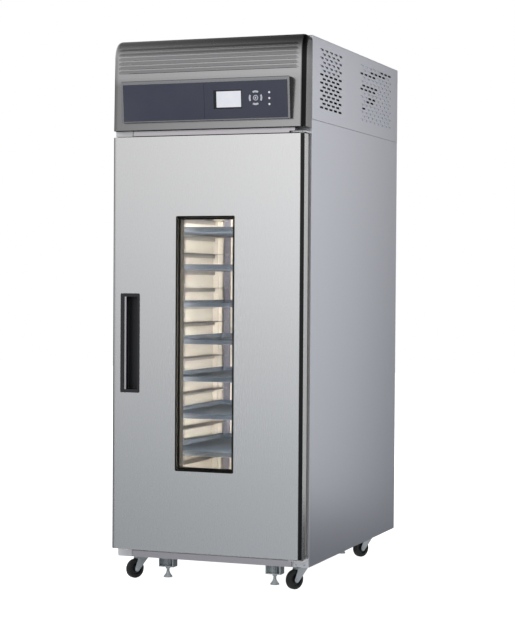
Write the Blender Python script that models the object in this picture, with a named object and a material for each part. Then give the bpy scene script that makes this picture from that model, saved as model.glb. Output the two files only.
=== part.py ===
# Proofing cabinet: one insulated door with a tall window, a control fascia over it, vented machine
# compartment on top, seven trays on two racks, four swivel casters and four levelling feet.
# Metres, +Z up, the front faces -Y, the origin is on the floor under the middle of the whole part.

import math

import bmesh
import bpy
from mathutils import Matrix, Vector

# Driving dimensions of the cabinet
cabinet_width = 0.790
body_depth = 1.155
cabinet_height = 2.105
body_clearance = 0.094
machine_compartment_height = 0.315
side_wall = 0.045
floor_wall = 0.045
roof_wall = 0.085
back_wall = 0.060
sheet = 0.002
seat_gap = 0.0003
seam_gap = 0.0006
overrun = 0.010
merge_distance = 0.00003
weld_overlap = 0.0015

# Base frame, sill and what stands on the floor
rail_height = 0.040
rail_width = 0.060
rail_wall = 0.003
frame_drop = 0.001
cross_rail_depth = 0.130
sill_height = 0.030
sill_depth = 0.012
sill_end_length = 0.050
sill_end_step = 0.002

caster_inset = 0.060
front_caster_setback = 0.075
rear_caster_setback = 0.930
caster_plate_side = 0.072
caster_plate_overlap = 0.0005
caster_plate_thickness = 0.004
wheel_radius = 0.0375
wheel_width = 0.025
wheel_side_gap = 0.002
wheel_crown = 0.003
hub_radius = 0.012
hub_step = 0.001
axle_radius = 0.0045
running_gap = 0.0007
axle_head = 0.0035
caster_trail = 0.030
caster_rest_turn = math.radians(-30.0)
cheek_thickness = 0.0025
crown_thickness = 0.0045
crown_half_length = 0.024
cheek_end_radius = 0.011
cheek_sink = 0.0005
cheek_arc_start = math.radians(150)
cheek_arc_end = math.radians(345)
cheek_arc_steps = 6
crown_gap = 0.0028
race_radius = 0.020
kingpin_radius = 0.006
kingpin_length = 0.012

foot_inset = 0.170
foot_bracket_width = 0.062
foot_bracket_depth = 0.044
foot_bracket_height = 0.046
foot_bracket_wall = 0.0035
front_foot_setback = 0.090
foot_stem_radius = 0.006
foot_hex_radius = 0.0095
foot_hex_height = 0.008
foot_base_radius = 0.0178
foot_base_height = 0.023
foot_lift = 0.005
foot_rim_height = 0.004
foot_stem_above_frame = 0.009

# Door, its hinges and its window
door_side_inset = 0.003
door_bottom_height = 0.1342
door_top_drop = 0.0594
door_seal_gap = 0.0157
door_thickness = 0.070
door_shell_depth = 0.052
door_edge_radius = 0.014
door_liner_inset = 0.005
hinge_inset = 0.020
hinge_setback = 0.0343
hinge_pin_radius = 0.005
hinge_bore_gap = 0.0006
hinge_pin_depth = 0.022
hinge_plate_thickness = 0.005
hinge_plate_gap = 0.0055
hinge_plate_width = 0.063
hinge_plate_nose = 0.015
hinge_flange_thickness = 0.004
hinge_collar_radius = 0.009
gasket_width = 0.018
gasket_outer_inset = 0.029
gasket_end_inset = 0.0185
gasket_neck_share = 0.45
gasket_root_inset = 0.003
gasket_neck_inset = 0.0045
gasket_inner_radius = 0.006

window_width = 0.2414
window_low_margin = 0.3130
window_top_margin = 0.3054
window_offset = -0.0025
window_corner_radius = 0.006
window_frame_wall = 0.005
window_frame_proud = 0.0006
glass_setback = 0.009
glass_unit_depth = 0.026
pane_thickness = 0.005
glass_spacer_width = 0.009
breather_radius = 0.0015
breather_steps = 6

handle_width = 0.080
handle_height = 0.384
handle_edge_distance = 0.0381
handle_bottom_height = 0.7437
handle_border = 0.012
handle_flange = 0.002
handle_cup_wall = 0.0025
handle_cup_depth = 0.038
handle_corner_radius = 0.004
handle_lip_width = 0.009
handle_lip_depth = 0.010

# Fascia and its control panel
fascia_drop = 0.0335
fascia_sheet = 0.003
fascia_lean = 0.0077
fascia_bend_height = 0.075
fascia_bend_depth = 0.045
fascia_bend_steps = 6
fascia_corner_radius = 0.020
louvre_count = 7
louvre_pitch = 0.0185
louvre_first_rise = 0.2115
louvre_height = 0.016
louvre_nose = 0.0036
louvre_sink = 0.0015
louvre_end_sink = 0.0005
louvre_end_margin = 0.047
louvre_end_taper = 0.022
louvre_nose_share = 0.74

panel_lean = math.radians(5.0)
panel_centre_rise = 0.1075
panel_centre_depth = 0.0235
plate_width = 0.670
plate_height = 0.150
plate_thickness = 0.003
plate_joint = 0.0006
housing_side_rim = 0.010
housing_top_rim = 0.012
housing_bottom_rim = 0.004
housing_edge_radius = 0.010

display_width = 0.115
display_height = 0.076
display_offset = 0.096
display_setback = 0.0005
screen_width = 0.100
screen_height = 0.065
screen_recess = 0.001
screen_offset = 0.0035
key_pad_offset = 0.2085
key_outer_radius = 0.0285
key_inner_radius = 0.0190
key_half_angle = math.radians(31.0)
key_arc_steps = 4
key_proud = 0.0012
key_gap = 0.0004
key_travel = 0.001
key_centre_radius = 0.0105
key_pocket_margin = 0.003
lamp_offset = 0.265
lamp_pitch = 0.0245
lamp_radius = 0.005
lamp_proud = 0.0008

# Slots of the machine compartment
slot_length = 0.040
slot_height = 0.008
slot_pitch = 0.057
slot_row_pitch = 0.01571
slot_rows = 15
slot_first_rise = 0.054
front_slots_setback = 0.112
front_slots_count = 5
rear_slots_setback = 0.628
rear_slots_count = 8
panel_return = 0.025
back_slot_length = 0.110
back_slot_count = 5
back_slot_rows = 6
back_slot_row_pitch = 0.030
top_sheet = 0.0024

# Racks and trays
tray_count = 7
tray_post_gap = 0.0337
tray_depth = 0.800
tray_height = 0.020
tray_sheet = 0.002
tray_taper = 0.007
tray_bend = 0.005
tray_corner_radius = 0.022
tray_setback = 0.030
runners_per_tray = 2
runner_low_clearance = 0.09745
runner_top_clearance = 0.0467
runners_below_first = 3
runner_count = 20
runner_sheet = 0.002
runner_flange = 0.064
runner_web = 0.018
runner_front_setback = 0.047
rack_post_width = 0.030
rack_post_depth = 0.016
rack_front_post_setback = 0.060
rack_middle_post_setback = 0.480
rack_stop_width = 0.030
rack_stop_depth = 0.013
rack_stop_overlap = 0.012
rack_top_clearance = 0.016
opening_lining = 0.012
opening_lining_depth = 0.040

# Air duct and what stands behind it
duct_setback = 0.856
duct_sheet = 0.003
duct_rib_width = 0.010
duct_rib_depth = 0.004
duct_rib_pitch = 0.022
duct_rib_count = 3
duct_rib_inset = 0.012
duct_rib_margin = 0.020
fan_drop = 0.2047
grille_radius = 0.105
grille_bar_pitch = 0.022
grille_slot_height = 0.012
outlet_rows = 5
outlet_row_pitch = 0.040
outlet_first_rise = 0.0817
outlet_length = 0.360
outlet_height = 0.010

fan_radius = 0.110
fan_hub_radius = 0.022
fan_hub_depth = 0.034
fan_blade_count = 6
fan_root_radius = 0.015
fan_root_width = 0.013
fan_tip_width = 0.070
fan_blade_thickness = 0.0025
fan_blade_angle = math.radians(24.0)
fan_setback = 0.905
motor_radius = 0.045
motor_mount_side = 0.120
motor_mount_sheet = 0.003
motor_face_gap = 0.012
shaft_radius = 0.005
shaft_gap = 0.0005
shaft_in_hub = 0.016

heater_tube_radius = 0.0055
heater_half_width = 0.200
heater_passes = 4
heater_pitch = 0.045
heater_drop = 0.380
heater_setback = 0.900
heater_bend_steps = 5
heater_flange_sheet = 0.003
heater_flange_margin = 0.020

pan_width = 0.240
pan_depth = 0.170
pan_height = 0.090
pan_wall = 0.0025
pan_setback = 0.880

ceiling_lamp_length = 0.500
ceiling_lamp_width = 0.044
ceiling_lamp_height = 0.022
ceiling_lamp_setback = 0.110
ceiling_lamp_taper = 0.008

# Machine compartment
compressor_radius = 0.075
compressor_height = 0.175
# The can's radius and height at each bend of its side, from its foot to its crown, with the weld band
compressor_profile_shares = (
    (0.82, 0.0), (1.0, 0.17), (1.0, 0.43), (1.04, 0.45), (1.04, 0.50), (1.0, 0.52), (1.0, 0.77),
    (0.86, 0.92), (0.45, 1.0),
)
compressor_x = -0.150
compressor_setback = 0.720
compressor_plate_side = 0.170
compressor_plate_sheet = 0.004
condenser_length = 0.384
condenser_height = 0.250
condenser_depth = 0.040
condenser_setback = 0.640
condenser_side_gap = 0.016
condenser_core = 0.012
fin_count = 24
fin_share = 0.36
condenser_base_width = 0.170
condenser_base_sheet = 0.004
condenser_motor_radius = 0.030
condenser_motor_length = 0.050
condenser_arm_thickness = 0.005
condenser_arm_width = 0.040
condenser_fan_gap = 0.010

# How finely round forms are drawn
circle_steps = 20
small_circle_steps = 12
corner_steps = 3
door_edge_steps = 5
round_profile = 0.5

# Places that follow from the sizes above
half_width = cabinet_width / 2
chamber_half_width = half_width - side_wall
back_face = body_depth - back_wall
frame_bottom = body_clearance - frame_drop
floor_bottom = frame_bottom + rail_height + seat_gap
chamber_bottom = floor_bottom + floor_wall
seam_height = cabinet_height - machine_compartment_height
panel_top = seam_height - seam_gap / 2
deck_height = seam_height + seam_gap / 2
chamber_top = panel_top - roof_wall
chamber_inner = chamber_half_width - seat_gap
door_front = -(door_seal_gap + door_thickness)
door_half_width = half_width - door_side_inset
hinge_x = door_half_width - hinge_inset
hinge_y = -(door_seal_gap + hinge_setback)
door_top_height = seam_height - door_top_drop
window_bottom_height = door_bottom_height + window_low_margin
window_height = door_top_height - window_top_margin - window_bottom_height
fascia_bottom_height = seam_height - fascia_drop
louvre_first_height = fascia_bottom_height + louvre_first_rise
panel_centre_height = fascia_bottom_height + panel_centre_rise
slot_first_height = seam_height + slot_first_rise
runner_room = chamber_top - chamber_bottom - runner_low_clearance - runner_top_clearance
runner_pitch = runner_room / (runner_count - 1)
tray_pitch = runners_per_tray * runner_pitch
tray_first_height = chamber_bottom + runner_low_clearance + runners_below_first * runner_pitch
tray_width = 2 * (chamber_inner - rack_post_depth - tray_post_gap)
fan_height = chamber_top - fan_drop
heater_low_height = fan_height - heater_drop
outlet_first_height = chamber_bottom + outlet_first_rise
fan_centre = Vector((0, fan_setback, fan_height))
panel_origin = Vector((0, door_front - panel_centre_depth, panel_centre_height))
caster_x = half_width - caster_inset
foot_x = half_width - foot_inset
# The shapes are drawn with the body's front at y = 0; the part's origin is under its middle.
overall_front = (
    door_front - panel_centre_depth - math.sin(panel_lean) * (plate_height / 2 + housing_top_rim)
)
part_origin = Vector((0, (body_depth + overall_front) / 2, 0))


def finish(name, colour, roughness, metallic=0.0, alpha=1.0):
    """A Principled material, made once."""
    material = bpy.data.materials.get(name)
    if material:
        return material
    material = bpy.data.materials.new(name)
    material.use_nodes = True
    shader = material.node_tree.nodes["Principled BSDF"]
    shader.inputs["Base Color"].default_value = (*colour, 1.0)
    shader.inputs["Roughness"].default_value = roughness
    shader.inputs["Metallic"].default_value = metallic
    shader.inputs["Alpha"].default_value = alpha
    return material


def stainless():
    return finish("brushed stainless steel", (0.62, 0.63, 0.65), 0.34, 1.0)


def dark_stainless():
    return finish("satin fascia steel", (0.42, 0.42, 0.43), 0.38, 1.0)


def galvanised():
    return finish("zinc plated steel", (0.55, 0.58, 0.58), 0.42, 1.0)


def liner_steel():
    return finish("chamber liner", (0.80, 0.76, 0.68), 0.45, 0.6)


def tray_metal():
    return finish("tray aluminium", (0.24, 0.28, 0.34), 0.45, 0.8)


def black_plastic():
    return finish("black plastic", (0.015, 0.015, 0.017), 0.45)


def slate_plastic():
    return finish("slate control plate", (0.065, 0.070, 0.095), 0.35)


def key_plastic():
    return finish("pale key plastic", (0.48, 0.48, 0.56), 0.40)


def rubber():
    return finish("black rubber", (0.012, 0.012, 0.012), 0.75)


def seal_rubber():
    return finish("grey seal rubber", (0.20, 0.20, 0.20), 0.70)


def window_glass():
    return finish("clear glass", (0.90, 0.93, 0.93), 0.03, 0.0, 0.25)


def lamp_diffuser():
    return finish("lamp diffuser", (0.95, 0.90, 0.78), 0.40)


def fin_aluminium():
    return finish("fin aluminium", (0.75, 0.76, 0.77), 0.40, 1.0)


def machine_black():
    return finish("black machine enamel", (0.03, 0.03, 0.03), 0.45)


# Shapes, each a closed bmesh

def box(x_range, y_range, z_range):
    made = bmesh.new()
    bmesh.ops.create_cube(made, size=1.0)
    low = Vector((x_range[0], y_range[0], z_range[0]))
    high = Vector((x_range[1], y_range[1], z_range[1]))
    size = high - low
    bmesh.ops.transform(
        made,
        matrix=Matrix.Translation((low + high) / 2) @ Matrix.Diagonal((*size, 1.0)),
        verts=made.verts,
    )
    return made


def along_x(point, at):
    return Vector((at, point[0], point[1]))


def along_y(point, at):
    return Vector((point[0], at, point[1]))


def along_z(point, at):
    return Vector((point[0], point[1], at))


def prism(outline, start, end, lay):
    """A flat outline carried from start to end; lay puts its two numbers and the place into space."""
    made = bmesh.new()
    rings = [[made.verts.new(lay(point, at)) for point in outline] for at in (start, end)]
    made.faces.new(rings[0])
    made.faces.new(list(reversed(rings[1])))
    count = len(outline)
    for i in range(count):
        j = (i + 1) % count
        made.faces.new((rings[0][i], rings[1][i], rings[1][j], rings[0][j]))
    bmesh.ops.recalc_face_normals(made, faces=made.faces)
    return made


def loft(rings):
    """A closed skin through rings of points, each ring with the same number of points."""
    made = bmesh.new()
    rows = [[made.verts.new(point) for point in ring] for ring in rings]
    made.faces.new(list(reversed(rows[0])))
    made.faces.new(rows[-1])
    count = len(rows[0])
    for low, high in zip(rows, rows[1:]):
        for i in range(count):
            j = (i + 1) % count
            made.faces.new((low[i], low[j], high[j], high[i]))
    bmesh.ops.recalc_face_normals(made, faces=made.faces)
    # A thin twisted shape can come out inside out.
    if made.calc_volume(signed=True) < 0:
        bmesh.ops.reverse_faces(made, faces=made.faces)
    return made


def circle(radius, steps, turn=0.0):
    return [
        (radius * math.cos(turn + math.tau * i / steps), radius * math.sin(turn + math.tau * i / steps))
        for i in range(steps)
    ]


def shifted(outline, by):
    return [(u + by[0], v + by[1]) for u, v in outline]


def cylinder(centre, radius, start, end, lay, steps=circle_steps):
    return prism(shifted(circle(radius, steps), centre), start, end, lay)


def turned(profile, steps, lay=along_z, centre=(0, 0)):
    """A solid of revolution; the profile lists (radius, place) from one end of the axis to the other."""
    rings = [
        [lay(point, at) for point in shifted(circle(radius, steps), centre)]
        for radius, at in profile
    ]
    return loft(rings)


def rounded(width, height, radius, steps=corner_steps, centre=(0, 0)):
    """A rectangle with round corners, anticlockwise."""
    points = []
    corners = ((1, 1, 0), (-1, 1, 1), (-1, -1, 2), (1, -1, 3))
    for side_u, side_v, quarter in corners:
        middle_u = centre[0] + side_u * (width / 2 - radius)
        middle_v = centre[1] + side_v * (height / 2 - radius)
        for i in range(steps + 1):
            angle = math.pi / 2 * (quarter + i / steps)
            points.append((middle_u + radius * math.cos(angle), middle_v + radius * math.sin(angle)))
    return points


def slot(length, height, centre):
    """The outline of a punched slot."""
    half = length / 2
    tall = height / 2
    return shifted(((half, tall), (-half, tall), (-half, -tall), (half, -tall)), centre)


def both(*shapes):
    """Several closed shapes in one bmesh, for a cutter or a joined operand."""
    made = bmesh.new()
    for shape in shapes:
        mesh = bpy.data.meshes.new("piece")
        shape.to_mesh(mesh)
        shape.free()
        made.from_mesh(mesh)
        bpy.data.meshes.remove(mesh)
    return made


def bevelled(shape, chosen, radius, segments=corner_steps):
    """Rounds the edges that chosen picks."""
    edges = [edge for edge in shape.edges if chosen(*(vert.co for vert in edge.verts))]
    bmesh.ops.bevel(
        shape, geom=edges, offset=radius, segments=segments, profile=round_profile, affect="EDGES",
        clamp_overlap=True,
    )
    return shape


def upright(a, b):
    return abs(a.x - b.x) < seat_gap and abs(a.y - b.y) < seat_gap


def mesh_of(shape, name):
    mesh = bpy.data.meshes.new(name)
    shape.to_mesh(mesh)
    shape.free()
    return mesh


def worked(name, shape, join=(), cut=()):
    """The mesh of a shape after Boolean unions and cuts, with exact solving."""
    body = bpy.data.objects.new(name, mesh_of(shape, name))
    bpy.context.scene.collection.objects.link(body)
    tools = []
    for operation, others in (("UNION", join), ("DIFFERENCE", cut)):
        for other in others:
            tool = bpy.data.objects.new(name + " tool", mesh_of(other, name + " tool"))
            tool.hide_render = True
            tool.display_type = "WIRE"
            bpy.context.scene.collection.objects.link(tool)
            modifier = body.modifiers.new(operation, "BOOLEAN")
            modifier.operation = operation
            modifier.object = tool
            tools.append(tool)
    bpy.context.view_layer.update()
    graph = bpy.context.evaluated_depsgraph_get()
    mesh = bpy.data.meshes.new_from_object(body.evaluated_get(graph))
    for used in [body, *tools]:
        old = used.data
        bpy.data.objects.remove(used)
        bpy.data.meshes.remove(old)
    return mesh


def place(name, shape, material, origin=(0, 0, 0), turn=0.0, local=False, smooth=None):
    """A named object. The shape is in the body's places unless local; its origin goes to the given point."""
    mesh = shape if isinstance(shape, bpy.types.Mesh) else mesh_of(shape, name)
    origin = Vector(origin)
    if not local:
        mesh.transform(Matrix.Translation(-origin))
    mesh.name = name
    mesh.materials.clear()
    mesh.materials.append(material)
    if smooth:
        mesh.shade_smooth()
        mesh.set_sharp_from_angle(angle=smooth)
    made = bpy.data.objects.new(name, mesh)
    made.location = origin - part_origin
    made.rotation_euler = (turn, 0, 0)
    bpy.context.scene.collection.objects.link(made)
    return made


round_finish = math.radians(35)


# Cabinet body

def build_body():
    for side, word in ((-1, "left"), (1, "right")):
        inner, outer = sorted((side * chamber_half_width, side * half_width))
        panel = box((inner, outer), (0, body_depth), (body_clearance, panel_top))
        bevelled(panel, lambda a, b: upright(a, b) and a.x * side > chamber_half_width + overrun, sheet, 2)
        place("side_panel_" + word, panel, stainless())
    across = (-chamber_inner, chamber_inner)
    place("back_panel", box(across, (back_face, body_depth), (body_clearance, panel_top)), stainless())
    inside = (0, back_face - seat_gap)
    place("chamber_floor", box(across, inside, (floor_bottom, chamber_bottom)), liner_steel())
    place("chamber_roof", box(across, inside, (chamber_top, panel_top)), liner_steel())
    width = 2 * chamber_inner
    height = chamber_top - chamber_bottom - 2 * seat_gap
    middle = (0, (chamber_top + chamber_bottom) / 2)
    hole = rounded(width - 2 * opening_lining, height - 2 * opening_lining, opening_lining, 2, middle)
    lining = worked(
        "lining",
        box(across, (0, opening_lining_depth), (chamber_bottom + seat_gap, chamber_top - seat_gap)),
        cut=[prism(hole, -overrun, opening_lining_depth + overrun, along_y)],
    )
    place("door_opening_frame", lining, seal_rubber())


# Base frame, with the caster plates and the foot brackets welded to it

def foot_bracket(x, y):
    """A channel open to the front, hanging from the frame, with a plate for the stem at its foot."""
    top = frame_bottom + weld_overlap
    low = frame_bottom - foot_bracket_height
    half = foot_bracket_width / 2
    near = y - foot_bracket_depth / 2
    far = y + foot_bracket_depth / 2
    block = box((x - half, x + half), (near, far), (low, top))
    hollow = box(
        (x - half + foot_bracket_wall, x + half - foot_bracket_wall),
        (near - overrun, far - foot_bracket_wall),
        (low + foot_bracket_wall, frame_bottom + overrun),
    )
    return block, hollow


def build_base():
    rail_top = frame_bottom + rail_height
    rear_cross = rear_caster_setback - cross_rail_depth / 2
    outer = box((-chamber_inner, chamber_inner), (0, back_face - seat_gap), (frame_bottom, rail_top))
    windows = []
    troughs = []
    side_rail = chamber_inner - rail_width
    inner_rail = chamber_inner - rail_wall
    for near, far in (
        (cross_rail_depth, rear_cross),
        (rear_cross + cross_rail_depth, back_face - seat_gap - rail_width / 2),
    ):
        windows.append(
            box((-side_rail, side_rail), (near, far), (frame_bottom - overrun, rail_top + overrun))
        )
    high = (frame_bottom + rail_wall, rail_top + overrun)
    for side in (-1, 1):
        reach = sorted((side * (side_rail + rail_wall), side * inner_rail))
        troughs.append(box(reach, (rail_wall, back_face - seat_gap - rail_wall), high))
    for near in (0, rear_cross):
        troughs.append(
            box((-side_rail, side_rail), (near + rail_wall, near + cross_rail_depth - rail_wall), high)
        )
    blocks = []
    hollows = []
    for x in (-foot_x, foot_x):
        for y in (front_foot_setback, rear_caster_setback):
            block, hollow = foot_bracket(x, y)
            blocks.append(block)
            hollows.append(hollow)
    plates = []
    holes = []
    plate_top = frame_bottom + caster_plate_overlap
    plate_low = plate_top - caster_plate_thickness
    half = caster_plate_side / 2
    for x in (-caster_x, caster_x):
        for y in (front_caster_setback, rear_caster_setback):
            plates.append(box((x - half, x + half), (y - half, y + half), (plate_low, plate_top)))
            holes.append(
                cylinder(
                    (x, y), kingpin_radius + running_gap, plate_low - overrun,
                    frame_bottom + rail_wall + overrun, along_z, small_circle_steps,
                )
            )
    for x in (-foot_x, foot_x):
        for y in (front_foot_setback, rear_caster_setback):
            holes.append(
                cylinder(
                    (x, y), foot_stem_radius + running_gap, frame_bottom - foot_bracket_height - overrun,
                    frame_bottom + rail_wall + overrun, along_z, small_circle_steps,
                )
            )
    # The hollow of a bracket ends under the frame's own bottom sheet.
    for hollow in hollows:
        for vert in hollow.verts:
            vert.co.z = min(vert.co.z, frame_bottom)
    frame = worked(
        "frame", outer, join=[both(*blocks), both(*plates)],
        cut=[both(*windows), both(*troughs[:2]), both(*troughs[2:]), both(*hollows), both(*holes)],
    )
    place("base_frame", frame, galvanised())

    sill_top = body_clearance + sill_height
    sill_end = half_width - hinge_plate_width - door_side_inset - seam_gap
    strip_start = -half_width + sill_end_length / 2
    strip = box((strip_start, sill_end), (-sill_depth, -seat_gap), (body_clearance, sill_top))
    end = box(
        (-half_width, -half_width + sill_end_length), (-sill_depth - sill_end_step, -seat_gap - seat_gap),
        (body_clearance + seat_gap, sill_top - seat_gap),
    )
    place("front_sill", worked("sill", strip, join=[end]), stainless())


# Casters and levelling feet

def caster_wheel_shape():
    half = wheel_width / 2
    tread = half - wheel_crown
    profile = (
        (axle_radius + running_gap, -half - hub_step), (hub_radius, -half - hub_step), (hub_radius, -half),
        (wheel_radius - wheel_crown, -half), (wheel_radius, -tread), (wheel_radius, tread),
        (wheel_radius - wheel_crown, half), (hub_radius, half), (hub_radius, half + hub_step),
        (axle_radius + running_gap, half + hub_step),
    )
    made = bmesh.new()
    rows = [
        [made.verts.new(along_x(point, at)) for point in circle(radius, circle_steps)]
        for radius, at in profile
    ]
    for low, high in zip(rows, rows[1:] + rows[:1]):
        for i in range(circle_steps):
            j = (i + 1) % circle_steps
            made.faces.new((low[i], low[j], high[j], high[i]))
    bmesh.ops.recalc_face_normals(made, faces=made.faces)
    return made


def caster_fork_mesh():
    """Local to the swivel axis at floor height: crown, race, kingpin, two cheeks and the axle."""
    plate_low = frame_bottom + caster_plate_overlap - caster_plate_thickness
    race_top = plate_low - seat_gap
    crown_low = 2 * wheel_radius + crown_gap
    crown_top = crown_low + crown_thickness
    reach = wheel_width / 2 + wheel_side_gap
    crown = prism(
        rounded(2 * (reach + cheek_thickness), 2 * crown_half_length, cheek_thickness, 2),
        crown_low, crown_top, along_z,
    )
    cheek_top = crown_top - cheek_sink
    outline = [(crown_half_length, cheek_top), (-crown_half_length, cheek_top)]
    for i in range(cheek_arc_steps + 1):
        angle = cheek_arc_start + (cheek_arc_end - cheek_arc_start) * i / cheek_arc_steps
        around = (cheek_end_radius * math.cos(angle), cheek_end_radius * math.sin(angle))
        outline.append((around[0] - caster_trail, around[1] + wheel_radius))
    near = reach + cheek_sink
    far = reach + cheek_thickness - cheek_sink
    cheeks = [prism(outline, side * near, side * far, along_x) for side in (-1, 1)]
    race = cylinder((0, 0), race_radius, crown_top - weld_overlap, race_top, along_z, small_circle_steps)
    pin = cylinder((0, 0), kingpin_radius, crown_top, plate_low + kingpin_length, along_z, small_circle_steps)
    head = reach + cheek_thickness + axle_head
    axle = cylinder((-caster_trail, wheel_radius), axle_radius, -head, head, along_x, small_circle_steps)
    return worked("fork", crown, join=[both(*cheeks), race, pin, axle])


def build_casters():
    """All four casters rest a little swivelled."""
    swivelled = Matrix.Rotation(caster_rest_turn, 4, "Z")
    fork = caster_fork_mesh()
    wheel = mesh_of(caster_wheel_shape(), "wheel")
    for side, word in ((-1, "left"), (1, "right")):
        for setback, end in ((front_caster_setback, "front"), (rear_caster_setback, "rear")):
            swivel = Vector((side * caster_x, setback, 0))
            hub = swivel + swivelled @ Vector((0, -caster_trail, wheel_radius))
            for piece, mesh, material, at in (
                ("fork", fork, galvanised(), swivel), ("wheel", wheel, rubber(), hub),
            ):
                name = f"caster_{piece}_{end}_{word}"
                turned_mesh = mesh.copy()
                turned_mesh.transform(swivelled)
                place(name, turned_mesh, material, at, local=True, smooth=round_finish)
    bpy.data.meshes.remove(fork)
    bpy.data.meshes.remove(wheel)


def levelling_foot_mesh():
    """Local to the stem axis at floor height."""
    hex_top = frame_bottom - foot_bracket_height - seat_gap
    hex_low = hex_top - foot_hex_height
    base_top = foot_lift + foot_base_height
    stem = cylinder(
        (0, 0), foot_stem_radius, base_top - weld_overlap, frame_bottom + foot_stem_above_frame, along_z,
        small_circle_steps,
    )
    hexagon = prism(circle(foot_hex_radius, 6), hex_low, hex_top, along_z)
    profile = (
        (foot_base_radius - sheet, foot_lift), (foot_base_radius, foot_lift + foot_rim_height / 2),
        (foot_base_radius, foot_lift + foot_rim_height), (foot_hex_radius, base_top - foot_rim_height),
        (foot_stem_radius + sheet, base_top),
    )
    return worked("foot", turned(profile, small_circle_steps), join=[stem, hexagon])


def build_feet():
    foot = levelling_foot_mesh()
    for side, word in ((-1, "left"), (1, "right")):
        for setback, end in ((front_foot_setback, "front"), (rear_caster_setback, "rear")):
            place(
                f"levelling_foot_{end}_{word}", foot.copy(), galvanised(), (side * foot_x, setback, 0),
                local=True, smooth=round_finish,
            )
    bpy.data.meshes.remove(foot)


# Door

def build_door():
    hinge = (hinge_x, hinge_y, 0)
    shell_back = door_front + door_shell_depth
    liner_front = shell_back + seat_gap
    liner_back = -door_seal_gap
    z_range = (door_bottom_height, door_top_height)
    window_middle = (window_offset, window_bottom_height + window_height / 2)
    opening = rounded(window_width, window_height, window_corner_radius, 2, window_middle)

    shell = box((-door_half_width, door_half_width), (door_front, shell_back), z_range)
    bevelled(
        shell, lambda a, b: upright(a, b) and a.y < door_front + seat_gap, door_edge_radius, door_edge_steps
    )
    handle_middle = (
        -door_half_width + handle_edge_distance + handle_width / 2,
        handle_bottom_height + handle_height / 2,
    )
    pocket = rounded(
        handle_width - 2 * handle_corner_radius, handle_height - 2 * handle_corner_radius,
        handle_corner_radius, 2, handle_middle,
    )
    pin_bore = hinge_pin_radius + hinge_bore_gap
    bores = [
        cylinder((hinge_x, hinge_y), pin_bore, start, end, along_z, small_circle_steps)
        for start, end in (
            (door_bottom_height - overrun, door_bottom_height + hinge_pin_depth + sheet),
            (door_top_height - hinge_pin_depth - sheet, door_top_height + overrun),
        )
    ]
    pocket_end = door_front + handle_cup_depth + handle_cup_wall + seat_gap
    shell = worked(
        "shell", shell,
        cut=[
            prism(opening, door_front - overrun, shell_back + overrun, along_y),
            prism(pocket, door_front - overrun, pocket_end, along_y),
            both(*bores),
        ],
    )
    place("door_shell", shell, stainless(), hinge, smooth=round_finish)

    liner_half = door_half_width - door_liner_inset
    liner = worked(
        "liner",
        box(
            (-liner_half, liner_half), (liner_front, liner_back),
            (door_bottom_height + door_liner_inset, door_top_height - door_liner_inset),
        ),
        cut=[prism(opening, liner_front - overrun, liner_back + overrun, along_y)],
    )
    place("door_liner", liner, liner_steel(), hinge)

    frame_outer = rounded(
        window_width - 2 * seat_gap, window_height - 2 * seat_gap, window_corner_radius, 2, window_middle
    )
    clear_width = window_width - 2 * seat_gap - 2 * window_frame_wall
    clear_height = window_height - 2 * seat_gap - 2 * window_frame_wall
    frame_hole = rounded(clear_width, clear_height, window_frame_wall / 2, 2, window_middle)
    window_frame = worked(
        "window", prism(frame_outer, door_front - window_frame_proud, liner_back - sheet, along_y),
        cut=[prism(frame_hole, door_front - overrun, liner_back + overrun, along_y)],
    )
    place("window_frame", window_frame, black_plastic(), hinge)

    glass_front = door_front + glass_setback
    glass_back = glass_front + glass_unit_depth
    glass = rounded(
        clear_width - 2 * seat_gap, clear_height - 2 * seat_gap, window_frame_wall / 2, 2, window_middle
    )
    middle_x, middle_z = window_middle
    hollow_half = clear_width / 2 - glass_spacer_width
    hollow_tall = clear_height / 2 - glass_spacer_width
    hollow = box(
        (middle_x - hollow_half, middle_x + hollow_half),
        (glass_front + pane_thickness, glass_back - pane_thickness),
        (middle_z - hollow_tall, middle_z + hollow_tall),
    )
    breather = cylinder(
        (middle_x + hollow_half / 2, (glass_front + glass_back) / 2), breather_radius,
        middle_z + hollow_tall - overrun, middle_z + clear_height / 2 + overrun, along_z, breather_steps,
    )
    glazing = worked(
        "glazing", prism(glass, glass_front, glass_back, along_y), cut=[hollow, breather]
    )
    place("glass_unit", glazing, window_glass(), hinge)

    gasket_half = half_width - gasket_outer_inset
    gasket_low = door_bottom_height + gasket_end_inset
    gasket_high = door_top_height - gasket_end_inset
    gasket_middle = (0, (gasket_low + gasket_high) / 2)
    near = -door_seal_gap + seat_gap
    far = -seat_gap
    neck = near + (far - near) * gasket_neck_share
    rings = ((gasket_root_inset, near), (gasket_neck_inset, neck), (0, far))
    outer_rings = [
        [along_y(p, at) for p in rounded(
            2 * (gasket_half - inset), gasket_high - gasket_low - 2 * inset, gasket_width,
            centre=gasket_middle,
        )]
        for inset, at in rings
    ]
    inner_rings = [
        [along_y(p, at) for p in rounded(
            2 * (gasket_half - gasket_width + inset), gasket_high - gasket_low - 2 * (gasket_width - inset),
            gasket_inner_radius, centre=gasket_middle,
        )]
        for inset, at in rings
    ]
    made = bmesh.new()
    rows = [[made.verts.new(p) for p in ring] for ring in outer_rings + inner_rings[::-1]]
    count = len(rows[0])
    for low, high in zip(rows, rows[1:] + rows[:1]):
        for i in range(count):
            j = (i + 1) % count
            made.faces.new((low[i], low[j], high[j], high[i]))
    bmesh.ops.recalc_face_normals(made, faces=made.faces)
    place("door_gasket", made, seal_rubber(), hinge)

    build_handle(handle_middle, hinge)


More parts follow.
